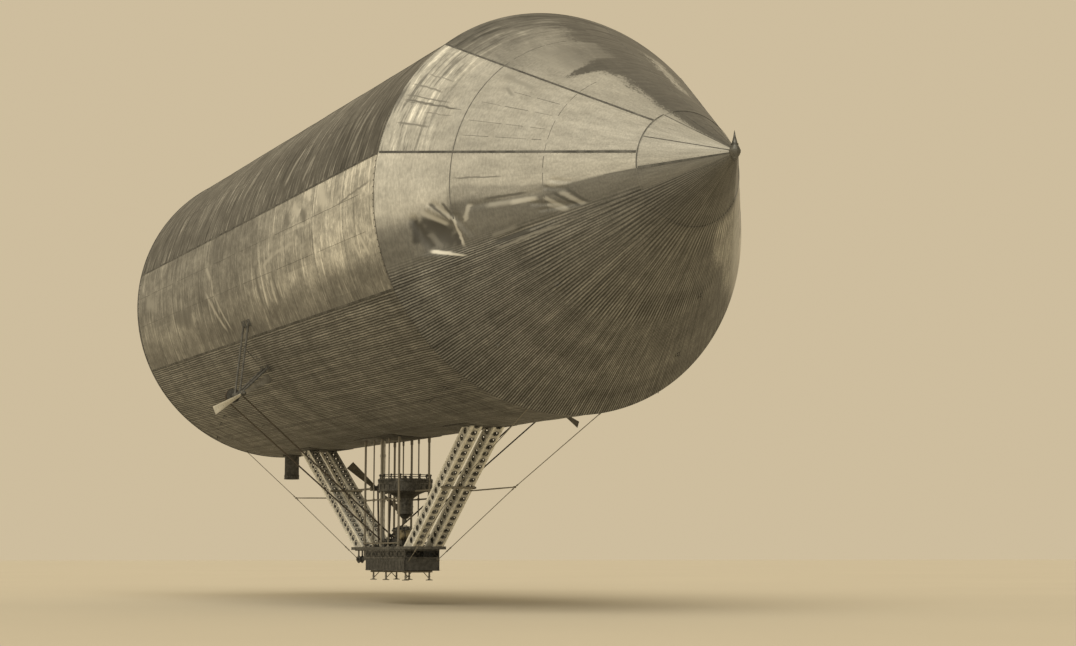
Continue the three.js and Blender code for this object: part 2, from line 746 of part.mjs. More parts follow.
/** A loop round two pulleys whose axes lie along X. Columns of each: y, z, radius. */
function beltLoop(x, drive, driven) {
  const dy = driven[0] - drive[0];
  const dz = driven[1] - drive[1];
  const heading = Math.atan2(dz, dy);
  const spread = Math.acos((drive[2] - driven[2]) / Math.hypot(dy, dz));
  const outline = (grow) => {
    const shape = new THREE.Path();
    shape.absarc(drive[0], drive[1], drive[2] + grow, heading + spread, heading - spread + 2 * Math.PI, false);
    shape.absarc(driven[0], driven[1], driven[2] + grow, heading - spread, heading + spread, false);
    return shape.getPoints(6);
  };
  const shape = new THREE.Shape(outline(BELT.clearance + BELT.thickness));
  shape.holes.push(new THREE.Path(outline(BELT.clearance)));
  const geometry = new THREE.ExtrudeGeometry(shape, { depth: BELT.width, bevelEnabled: false });
  geometry.applyMatrix4(new THREE.Matrix4().makeBasis(vector(0, 1, 0), vector(0, 0, 1), vector(1, 0, 0)));
  geometry.translate(x - BELT.width / 2, 0, 0);
  return solid(geometry);
}

// Screws

/** One twisted blade that widens to a square tip. Flip is 1 or -1 for the two blades of a screw. */
function screwBlade({ hub, reach, angle }, flip) {
  const turn = THREE.MathUtils.degToRad(angle);
  const shaftward = vector(1, 0, 0);
  const along = vector(0, -Math.cos(turn), Math.sin(turn)).multiplyScalar(flip);
  const across = vector(0, -along.z, along.y);
  const sections = [];
  for (let step = 0; step <= BLADE.steps; step += 1) {
    const share = step / BLADE.steps;
    const radius = BLADE.rootRadius + share * (reach - BLADE.rootRadius);
    const halfChord = BLADE.rootHalfChord + BLADE.chordGrowth * share ** BLADE.chordPower;
    const pitch = THREE.MathUtils.degToRad(BLADE.rootPitch - BLADE.pitchFall * share);
    const half = BLADE.rootHalfThickness - BLADE.thicknessFall * share;
    const chord = across.clone().multiplyScalar(Math.cos(pitch)).addScaledVector(shaftward, Math.sin(pitch));
    const thick = shaftward.clone().multiplyScalar(Math.cos(pitch)).addScaledVector(across, -Math.sin(pitch));
    const centre = vector(...hub).addScaledVector(along, radius);
    sections.push([[1, 1], [-1, 1], [-1, -1], [1, -1]].map(([c, t]) => centre.clone()
      .addScaledVector(chord, c * halfChord).addScaledVector(thick, t * half).toArray()));
  }
  return loft(sections);
}

/** Both blades on their hub, with a nose ahead of a side screw or a pin behind the centre one. */
function screwSolid(screw) {
  const [x, y, z] = screw.hub;
  const { radius, halfLength, noseLength, nosePoint } = HUB;
  const overlap = nosePoint / 4;
  const nose = screw.name === 'centre'
    ? rod([x, y, z], [x - halfLength - 2 * noseLength, y, z], SHAFT.radius, SHAFT.facets)
    : rod([x + halfLength - overlap, y, z], [x + halfLength + noseLength, y, z], radius - overlap, 16, nosePoint);
  return joined([screwBlade(screw, 1), screwBlade(screw, -1), drum([x, y, z], radius, 2 * halfLength, 16), nose]);
}

function makeScrews() {
  for (const screw of SCREWS) {
    const [, y, z] = screw.hub;
    addPiece(`screw_${screw.name}`, MATERIALS.tube, screwSolid(screw));
    addPiece(`belt_${screw.name}`, MATERIALS.belt,
      beltLoop(screw.pulleyX, [0, CRANK.z, PULLEY.driveRadius], [y, z, PULLEY.radius]));
  }
}

function makeSideShafts(hullCutter) {
  const { housingX, housingRadius, strutX, strutRadius, innerFoot, outerFoot } = OUTRIGGER;
  for (const { name, side } of SIDES) {
    const screw = SCREWS.find((each) => each.name === name);
    const [x, y, z] = screw.hub;
    const shaftRear = screw.pulleyX - PULLEY.width / 2 - PULLEY.shaftEnd;
    addPiece(`screw_shaft_${name}`, MATERIALS.iron, joined([
      rod([shaftRear, y, z], [x - HUB.halfLength - GAP, y, z], SHAFT.radius, SHAFT.facets),
      drum([screw.pulleyX, y, z], PULLEY.radius, PULLEY.width),
    ]));
    const struts = strutX.flatMap((strut) => [innerFoot, outerFoot].map((foot) =>
      rod([strut, y, z], [strut + foot.ahead, side * foot.y, foot.z], strutRadius)));
    const outrigger = joined([
      rod([housingX[0], y, z], [housingX[1], y, z], housingRadius, 16),
      ...struts,
    ]);
    const room = shaftRoom(housingX[0] - housingRadius, housingX[1] + housingRadius, y, z);
    addPiece(`outrigger_${name}`, MATERIALS.tube, outrigger.subtract(room).subtract(hullCutter));
  }
}

function makeCentreShaft() {
  const centre = SCREWS.find((each) => each.name === 'centre');
  const [x, y, z] = centre.hub;
  const { x: bearingX, radius, halfLength, armRadius, shaftFrontX } = CENTRE_BEARING;
  const armReach = CAGE.y - CAGE.pipeRadius - PLATFORM.tubeRoom;
  addPiece('screw_bearing', MATERIALS.iron, joined([
    rod([bearingX - halfLength, y, z], [bearingX + halfLength, y, z], radius, 16),
    rod([bearingX, -armReach, z], [bearingX, armReach, z], armRadius),
  ]).subtract(shaftRoom(bearingX - 2 * halfLength, bearingX + 2 * halfLength, y, z)));
  addPiece('screw_shaft_centre', MATERIALS.iron, joined([
    rod([x + HUB.halfLength + GAP, y, z], [shaftFrontX, y, z], SHAFT.radius, SHAFT.facets),
    drum([centre.pulleyX, y, z], PULLEY.radius, PULLEY.width),
  ]));
}

// Booms and stays

/** Where a boom's cross bar lies against a leg's forward face, at a height. */
function boomX(leg, z) {
  const { foot, up } = legFrame(leg);
  return foot.x + (up.x * (z - foot.z) + BOOM.radius + BOOM.clearOfLeg) / up.z;
}

function makeBooms() {
  const { radius, reach, frontZ, cupRadius, cupLength, cupWall } = BOOM;
  const [rearLeg, frontLeg] = LEGS;
  const boom = (x, endX, z) =>
    rod([x, -reach, z], [x, reach, z], radius).add(rod([x, 0, z], [endX, 0, z], radius));

  const rearZ = CENTRE_HUB.z;
  const cupFront = CENTRE_HUB.x - HUB.halfLength - cupWall * 6;
  const cup = rod([cupFront - cupLength, 0, rearZ], [cupFront, 0, rearZ], cupRadius, 16);
  const bore = shaftRoom(cupFront - cupLength + cupWall, cupFront + cupLength, 0, rearZ);
  addPiece('rear_boom', MATERIALS.tube, boom(boomX(rearLeg, rearZ), cupFront, rearZ).add(cup).subtract(bore));
  addPiece('front_boom', MATERIALS.tube,
    boom(boomX(frontLeg, frontZ), PLATFORM.x + PLATFORM.radius + GAP, frontZ));
}

function makeStays(hullCutter) {
  const rearCutter = rod(
    [SHEAVE.x, -HULL.halfWidth, SHEAVE.z], [SHEAVE.x, HULL.halfWidth, SHEAVE.z], SHEAVE.radius + 1, 14,
  );
  const frontCutter = block(
    [GONDOLA.rearX, -SADDLE.halfWidth, GONDOLA.floorZ],
    [GONDOLA.frontX + GAP, SADDLE.halfWidth, CARRIER_BOTTOM],
  );
  for (const { end, hull, tip, low, leg } of STAYS) {
    const girder = LEGS.find((each) => each.end === end);
    for (const { name, side } of SIDES) {
      const at = ([x, y, z]) => [x, side * y, z];
      const stay = joined([
        rod(at(hull), at(tip), STAY.radius, 6),
        rod(at(tip), at(low), STAY.radius, 6),
        rod(at(tip), at(leg), STAY.strutRadius),
        drum(at(tip), STAY.knotRadius, 2 * STAY.knotRadius, 8),
      ]);
      addPiece(`stay_${end}_${name}`, MATERIALS.tube, stay
        .subtract(hullCutter)
        .subtract(legBlock(girder, side, LEG.proud + GAP))
        .subtract(end === 'rear' ? rearCutter : frontCutter));
    }
  }
}

makeHull();
makeDome();
makeBands();
makeSaddles();
makeFinial();
makeFillingNeck();
const clearOfHull = barrelSolid(GAP);
const clearOfSaddles = barrelSolid(SADDLE.thickness + 2 * GAP);
makeLegs(clearOfSaddles);
makeCage(clearOfSaddles);
makeGasPipe(clearOfSaddles);
makePlatform();
makeTub();
makeLattice();
makeCarrier();
makeRearBrackets();
makeFeet();
makeEngine();
makeTank();
makeEngineShaft();
makeScrews();
makeSideShafts(clearOfHull);
makeCentreShaft();
makeBooms();
makeStays(clearOfHull);

export default airship;
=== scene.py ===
"""A small rigid airship: a hull of thin sheet aluminium over an open gondola, dressed for its picture.

Metres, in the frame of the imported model: +X is the nose, +Y is port, +Z is up, and the origin is on
the hull's axis. An angle round the hull is counted from the starboard side, up over the top to port.
"""

import json
import logging
import math
from dataclasses import dataclass, field
from enum import Enum
from functools import cache
from itertools import product
from typing import Callable, Sequence

import bmesh
import bpy
import numpy as np
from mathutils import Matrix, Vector


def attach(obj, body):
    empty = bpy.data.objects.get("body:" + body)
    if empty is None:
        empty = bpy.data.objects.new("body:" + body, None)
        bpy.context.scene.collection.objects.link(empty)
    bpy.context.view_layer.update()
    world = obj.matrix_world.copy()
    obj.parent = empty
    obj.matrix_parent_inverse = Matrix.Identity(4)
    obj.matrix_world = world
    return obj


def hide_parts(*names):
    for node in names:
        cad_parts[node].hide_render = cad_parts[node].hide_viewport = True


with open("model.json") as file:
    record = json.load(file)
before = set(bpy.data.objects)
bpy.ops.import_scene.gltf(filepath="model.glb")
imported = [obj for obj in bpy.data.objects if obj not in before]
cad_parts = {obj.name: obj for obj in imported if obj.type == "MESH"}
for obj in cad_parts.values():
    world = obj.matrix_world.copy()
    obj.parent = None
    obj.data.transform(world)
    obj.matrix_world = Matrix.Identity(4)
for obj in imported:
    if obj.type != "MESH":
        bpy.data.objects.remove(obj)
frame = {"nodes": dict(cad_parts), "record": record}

log = logging.getLogger("airship")

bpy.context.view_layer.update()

Point = Sequence[float]
Pair = tuple[float, float]
Colour = tuple[float, float, float]
Numbers = np.ndarray

HULL_BODY = "airship"
SIDES = {"starboard": -1.0, "port": 1.0}
BOTH = tuple(SIDES.values())
AHEAD, TO_PORT, UP, DOWN = ((1, 0, 0), (0, 1, 0), (0, 0, 1), (0, 0, -1))
CORNERS = ((-1, -1), (1, -1), (1, 1), (-1, 1))
FULL_TURN = 2 * math.pi


class Slot(Enum):
    """The record's material slots."""

    HULL = "hull_sheet"
    GIRDER = "girder"
    TUBE = "dark_tube"
    IRON = "dark_iron"
    SCREW = "screw_sheet"
    BRASS = "brass"
    BELT = "belt"


# Materials


class Number:
    """A number worked out in a material. Sums and products of it are nodes too."""

    def __init__(self, graph: "Graph", socket: bpy.types.NodeSocket) -> None:
        """Keeps the graph and the socket."""
        self.graph, self.socket = graph, socket

    def use(self, operation: str, *others: object) -> "Number":
        """Gives the result of a math node on this number and others."""
        node = self.graph.node("ShaderNodeMath", self, *others, operation=operation)
        return Number(self.graph, node.outputs[0])

    def __add__(self, other: object) -> "Number":
        """Adds another number."""
        return self.use("ADD", other)

    def __sub__(self, other: object) -> "Number":
        """Takes another number away."""
        return self.use("SUBTRACT", other)

    def __mul__(self, other: object) -> "Number":
        """Multiplies by another number."""
        return self.use("MULTIPLY", other)

    def __truediv__(self, other: object) -> "Number":
        """Divides by another number."""
        return self.use("DIVIDE", other)

    def __rsub__(self, other: object) -> "Number":
        """Takes this number away from another."""
        return self * -1.0 + other

    def ramp(self, low: object, high: object, start: object = 0.0, end: object = 1.0) -> "Number":
        """Turns one range of numbers smoothly into another.

        Args:
            low: Where the result starts to change.
            high: Where it stops.
            start: The result at and before low.
            end: The result at and past high.

        Returns:
            The result.
        """
        smooth_steps = {"interpolation_type": "SMOOTHSTEP"}
        node = self.graph.node("ShaderNodeMapRange", self, low, high, start, end, **smooth_steps)
        return Number(self.graph, node.outputs[0])


class Graph:
    """One node material, with a short call for each node that the finishes use."""

    def __init__(self, name: str) -> None:
        """Starts a material with its shader, and splits the object's coordinates.

        Args:
            name: The material's name.
        """
        self.material = bpy.data.materials.new(name)
        self.material.use_nodes = True
        self.tree = self.material.node_tree
        self.tree.nodes.clear()
        self.shader = self.node("ShaderNodeBsdfPrincipled")
        self.node("ShaderNodeOutputMaterial", self.shader.outputs[0])
        self.place = self.node("ShaderNodeTexCoord").outputs["Object"]
        parts = self.node("ShaderNodeSeparateXYZ", self.place).outputs
        self.x, self.y, self.z = (Number(self, part) for part in parts)

    def put(self, socket: bpy.types.NodeSocket, value: object) -> None:
        """Links a socket to another one, or sets its value.

        Args:
            socket: The input to feed.
            value: A worked out number, an output socket, a plain number, or a colour or vector.
        """
        value = value.socket if isinstance(value, Number) else value
        if isinstance(value, bpy.types.NodeSocket):
            self.tree.links.new(value, socket)
        elif isinstance(value, (tuple, list)) and socket.type == "RGBA":
            socket.default_value = (*value, 1.0)
        else:
            socket.default_value = value

    def node(
        self, kind: str, *values: object, named: dict[str, object] | None = None, **settings: str
    ) -> bpy.types.Node:
        """Adds a node and feeds its inputs.

        Args:
            kind: The node's type.
            values: What its first inputs take, in order.
            named: What further inputs take, by their names.
            settings: The node's own settings.

        Returns:
            The new node.
        """
        node = self.tree.nodes.new(kind)
        for name, setting in settings.items():
            setattr(node, name, setting)
        for socket, value in zip(node.inputs, values):
            self.put(socket, value)
        for name, value in (named or {}).items():
            self.put(node.inputs[name], value)
        return node

    def vector(self, *values: object) -> bpy.types.NodeSocket:
        """Joins three numbers to a vector."""
        return self.node("ShaderNodeCombineXYZ", *values).outputs[0]

    def vectors(self, operation: str, *values: object) -> bpy.types.NodeSocket:
        """Gives the vector that an operation makes of others."""
        return self.node("ShaderNodeVectorMath", *values, operation=operation).outputs["Vector"]

    def measure(self, operation: str, *values: object) -> Number:
        """Gives the number that an operation makes of vectors."""
        return Number(self, self.node("ShaderNodeVectorMath", *values, operation=operation).outputs["Value"])

    def tinted(self, tone: Number, tint: Colour) -> bpy.types.NodeSocket:
        """Gives a vector or tint times a number."""
        return self.node("ShaderNodeVectorMath", tint, named={"Scale": tone}, operation="SCALE").outputs[0]

    def noise(self, place: bpy.types.NodeSocket, scale: float, detail: float, rough: float = 0.55) -> Number:
        """Gives cloudy noise around one half.

        Args:
            place: The coordinates to read.
            scale: Clouds in a metre, roughly.
            detail: Number of finer layers.
            rough: Weight of the finer layers.

        Returns:
            The noise.
        """
        values = {"Vector": place, "Scale": scale, "Detail": detail, "Roughness": rough}
        return Number(self, self.node("ShaderNodeTexNoise", named=values).outputs["Fac"])

    def cells(self, across: Number, up: Number) -> Number:
        """Gives each square of a unit grid its own number from 0 to 1."""
        corner = self.vector(across.use("FLOOR"), up.use("FLOOR"), 0.0)
        return Number(self, self.node("ShaderNodeTexWhiteNoise", named={"Vector": corner}).outputs["Value"])

    def mix(self, share: Number, first: object, second: object) -> bpy.types.NodeSocket:
        """Mixes two colours.

        Args:
            share: How much of the second one.
            first: A colour or socket.
            second: A colour or socket.

        Returns:
            The mixed colour's socket.
        """
        node = self.node("ShaderNodeMix", data_type="RGBA")
        inputs = [socket for socket in node.inputs if socket.enabled and socket.name in ("Factor", "A", "B")]
        for socket, value in zip(inputs, (share, first, second)):
            self.put(socket, value)
        return next(socket for socket in node.outputs if socket.enabled)

    def gap(self, place: bpy.types.NodeSocket, start: Pair, end: Pair) -> tuple[Number, Number]:
        """Gives where a place is beside a short line, in the plane of its first two coordinates.

        Args:
            place: The place, with nought as its third coordinate.
            start: One end of the line.
            end: The other end.

        Returns:
            The nearest spot's share of the line's length, and the distance to it.
        """
        line = (end[0] - start[0], end[1] - start[1], 0.0)
        offset = self.vectors("SUBTRACT", place, (*start, 0.0))
        share = self.measure("DOT_PRODUCT", offset, line) / Vector(line).length_squared
        share = share.use("MAXIMUM", 0.0).use("MINIMUM", 1.0)
        return share, self.measure("LENGTH", self.vectors("SUBTRACT", offset, self.tinted(share, line)))

    def bump(self, height: Number, strength: float, distance: float) -> None:
        """Gives the surface a fine relief.

        Args:
            height: The relief, from 0 to 1.
            strength: How strongly it shows.
            distance: Its height in metres.
        """
        values = {"Strength": strength, "Distance": distance, "Height": height}
        self.put(self.shader.inputs["Normal"], self.node("ShaderNodeBump", named=values).outputs[0])

    def finish(self, colour: object, roughness: object, metallic: float) -> bpy.types.Material:
        """Sets the shader's main inputs.

        Args:
            colour: Base colour, or its socket.
            roughness: Roughness, or its number.
            metallic: Share of bare metal.

        Returns:
            The finished material.
        """
        for name, value in (("Base Color", colour), ("Roughness", roughness), ("Metallic", metallic)):
            self.put(self.shader.inputs[name], value)
        return self.material


@dataclass(frozen=True)
class Weathered:
    """A plain finish with blotches, grime and fine relief."""

    name: str
    pale: Colour
    dark: Colour
    grime: Colour
    metallic: float
    roughness: float
    grain: float
    stretch: Point = (1.0, 1.0, 1.0)
    relief: float = 0.002

    def material(self) -> bpy.types.Material:
        """Builds the node material, or gives back the one that is there.

        Returns:
            The material.
        """
        made = bpy.data.materials.get(self.name)
        if made:
            return made
        g = Graph(self.name)
        spread = g.node("ShaderNodeMapping", named={"Vector": g.place, "Scale": self.stretch}).outputs[0]
        blotch = g.noise(spread, self.grain, 5.0)
        fine = g.noise(spread, self.grain * 7.0, 3.0, 0.7)
        patch = g.noise(g.place, self.grain * 0.22, 3.0)
        soiled = patch.ramp(0.48, 0.72) * fine.ramp(0.3, 0.62) * 0.75
        colour = g.mix(soiled, g.mix(blotch.ramp(0.34, 0.66), self.dark, self.pale), self.grime)
        rough = blotch.ramp(0.3, 0.7, min(1.0, self.roughness + 0.16), self.roughness - 0.08)
        g.bump(blotch + fine * 0.6, 0.5, self.relief)
        return g.finish(colour, rough, self.metallic)


SEPIA: Colour = (1.0, 0.985, 0.895)


def sepia(tone: float) -> Colour:
    """The warm grey of a brightness."""
    return tuple(tone * part for part in SEPIA)


def faded(
    name: str, pale: float, dark: float, grime: float, metallic: float, roughness: float, grain: float
) -> Weathered:
    """Gives a finish in three brightnesses of the picture's warm grey.

    Args:
        name: The finish's name.
        pale: Brightness of its pale blotches.
        dark: Brightness of its dark ones.
        grime: Brightness of its grime.
        metallic: Share of bare metal.
        roughness: Its roughness.
        grain: Blotches in a metre, roughly.

    Returns:
        The finish.
    """
    return Weathered(name, sepia(pale), sepia(dark), sepia(grime), metallic, roughness, grain)


class HullPart(Enum):
    """The parts of the hull, each with its own painted light and shade and its own weathering."""

    BARREL = "barrel"
    NOSE = "nose"
    CAP = "cap"
    STERN = "stern"


# Painted light: pale smears are painted highlights and dark ones are painted shade, as in the dent's bowl;
# some are streaks of the sheet's own tone.
@dataclass(frozen=True)
class PaintedLightAndStreak:
    """A smear of its own tone between two places of the hull, each a station and an angle in degrees."""

    start: Pair
    end: Pair
    width: float
    tone: float
    both_sides: bool = False


# Painted highlights and shade on the nose and the barrel, with some of the sheet's own streaks.
PAINTED_LIGHT_AND_STREAKS: dict[HullPart, tuple[PaintedLightAndStreak, ...]] = {
    HullPart.NOSE: (
        PaintedLightAndStreak((13.03, 2.2), (14.45, 0.6), 0.05, 0.17),
        PaintedLightAndStreak((13.76, -7.0), (15.01, -8.0), 0.09, 0.11),
        PaintedLightAndStreak((13.82, -9.9), (15.14, -11.2), 0.17, 0.32),
        PaintedLightAndStreak((14.46, -10.8), (15.20, -11.3), 0.16, 0.44),
        PaintedLightAndStreak((12.05, -8.2), (11.98, -17.5), 0.14, 0.050),
        PaintedLightAndStreak((12.15, -9.5), (12.78, -14.6), 0.18, 0.062),
        PaintedLightAndStreak((12.14, -9.8), (12.20, -18.0), 0.15, 0.066),
        PaintedLightAndStreak((12.20, -11.5), (12.95, -17.2), 0.30, 0.068),
        PaintedLightAndStreak((12.10, -13.5), (12.38, -19.4), 0.24, 0.070),
        PaintedLightAndStreak((12.34, -14.5), (12.95, -20.4), 0.28, 0.070),
        PaintedLightAndStreak((12.95, -16.5), (13.04, -21.8), 0.18, 0.066),
        PaintedLightAndStreak((12.26, -14.0), (12.46, -19.6), 0.10, 0.165),
        PaintedLightAndStreak((12.47, -4.8), (12.96, -12.6), 0.07, 0.095),
        PaintedLightAndStreak((12.80, -5.2), (13.06, -12.2), 0.06, 0.10),
        PaintedLightAndStreak((12.19, -6.6), (12.84, -13.8), 0.11, 0.42),
        PaintedLightAndStreak((12.66, -6.0), (12.98, -12.4), 0.09, 0.42),
        PaintedLightAndStreak((13.00, -10.0), (13.17, -23.0), 0.065, 0.50),
        PaintedLightAndStreak((13.54, -7.4), (13.29, -14.4), 0.10, 0.40),
        PaintedLightAndStreak((12.20, -19.6), (13.16, -25.2), 0.055, 0.60),
        PaintedLightAndStreak((12.25, -20.1), (12.82, -22.9), 0.075, 0.62),
        PaintedLightAndStreak((15.30, -10.8), (15.82, -22.5), 0.11, 0.36),
        PaintedLightAndStreak((15.30, -14.6), (15.76, -22.0), 0.09, 0.30),
        PaintedLightAndStreak((15.72, -10.0), (16.25, -22.5), 0.11, 0.34),
        PaintedLightAndStreak((15.54, -9.6), (16.15, -23.0), 0.07, 0.080),
        PaintedLightAndStreak((15.84, -8.6), (16.36, -22.0), 0.07, 0.085),
        PaintedLightAndStreak((16.70, -6.4), (17.52, -5.4), 0.05, 0.12),
        PaintedLightAndStreak((13.76, -24.0), (14.90, -25.0), 0.13, 0.070),
        PaintedLightAndStreak((13.80, -21.6), (14.60, -21.4), 0.13, 0.20),
        PaintedLightAndStreak((13.72, -26.7), (15.60, -27.1), 0.075, 0.27),
        PaintedLightAndStreak((15.60, -26.9), (17.20, -26.4), 0.06, 0.17),
        PaintedLightAndStreak((11.15, 27.6), (12.90, 27.2), 0.05, 0.13, True),
        PaintedLightAndStreak((11.15, 29.2), (12.60, 28.9), 0.04, 0.17, True),
        PaintedLightAndStreak((11.30, 20.0), (12.30, 19.6), 0.05, 0.18, True),
        PaintedLightAndStreak((11.20, 33.0), (12.20, 32.4), 0.05, 0.20, True),
        PaintedLightAndStreak((11.90, 24.4), (12.80, 24.2), 0.04, 0.22, True),
        PaintedLightAndStreak((11.40, 37.6), (12.30, 37.0), 0.04, 0.24, True),
        PaintedLightAndStreak((13.60, 40.5), (13.95, 37.0), 0.09, 0.24, True),
        PaintedLightAndStreak((13.20, 45.5), (14.40, 43.5), 0.16, 0.27, True),
    ),
    HullPart.BARREL: (
        PaintedLightAndStreak((1.35, 3.0), (1.50, -21.0), 0.13, 0.60, True),
        PaintedLightAndStreak((0.95, -4.0), (1.05, -20.0), 0.16, 0.13, True),
        PaintedLightAndStreak((2.20, -11.0), (2.35, -20.0), 0.12, 0.50),
        PaintedLightAndStreak((2.80, -11.5), (2.95, -19.0), 0.10, 0.48),
        PaintedLightAndStreak((1.80, -11.0), (1.92, -18.0), 0.08, 0.46),
        PaintedLightAndStreak((2.52, -11.0), (2.62, -19.0), 0.09, 0.14),
        PaintedLightAndStreak((1.60, -6.8), (2.80, -4.2), 0.10, 0.45),
        PaintedLightAndStreak((2.60, -4.2), (4.80, -3.4), 0.10, 0.45),
        PaintedLightAndStreak((-4.50, -6.0), (-2.90, -23.0), 0.11, 0.42),
        PaintedLightAndStreak((-3.60, -7.0), (-2.50, -23.0), 0.09, 0.40),
        PaintedLightAndStreak((-4.00, -8.0), (-2.90, -21.0), 0.09, 0.11),
        PaintedLightAndStreak((-4.35, 2.0), (-3.65, -4.0), 0.17, 0.42),
        PaintedLightAndStreak((6.50, 10.9), (7.40, 2.0), 0.40, 0.60, True),
        PaintedLightAndStreak((5.50, 10.9), (5.95, 7.8), 0.28, 0.66),
        PaintedLightAndStreak((4.30, 8.5), (5.10, 4.0), 0.24, 0.55),
        PaintedLightAndStreak((5.10, 5.8), (5.70, 1.2), 0.28, 0.17),
        PaintedLightAndStreak((3.85, 7.0), (4.15, 1.5), 0.30, 0.18, True),
        PaintedLightAndStreak((9.65, -7.5), (10.25, -16.0), 0.11, 0.60),
        PaintedLightAndStreak((9.10, -7.5), (9.60, -16.0), 0.10, 0.57),
        PaintedLightAndStreak((-8.60, -10.5), (-6.20, -13.5), 0.50, 0.13, True),
        PaintedLightAndStreak((-12.10, -0.5), (-10.30, -4.5), 0.42, 0.30, True),
        PaintedLightAndStreak((8.10, 1.2), (10.90, 4.2), 0.06, 0.22),
        PaintedLightAndStreak((3.00, 16.0), (3.50, 31.0), 0.16, 0.30, True),
        PaintedLightAndStreak((4.80, 14.0), (5.10, 24.0), 0.14, 0.26, True),
        PaintedLightAndStreak((8.60, 14.0), (8.90, 34.0), 0.15, 0.24, True),
        PaintedLightAndStreak((-1.60, 20.0), (-1.20, 34.0), 0.16, 0.22, True),
        PaintedLightAndStreak((-6.20, 16.0), (-5.90, 30.0), 0.16, 0.20, True),
    ),
}
# Stations and angles of the frayed border of the painted shade on the nose's top strake.
TOP_SHADE_BORDER = (
    (12.0, 13.0, 79.0), (13.05, 13.3, 86.0), (14.15, 14.4, 71.0), (14.45, 14.65, 57.0), (14.70, 15.0, 71.5),
    (15.05, 15.45, 76.0), (15.5, 16.0, 73.5), (16.6, 17.4, 69.0), (17.6, 18.8, 64.0),
)


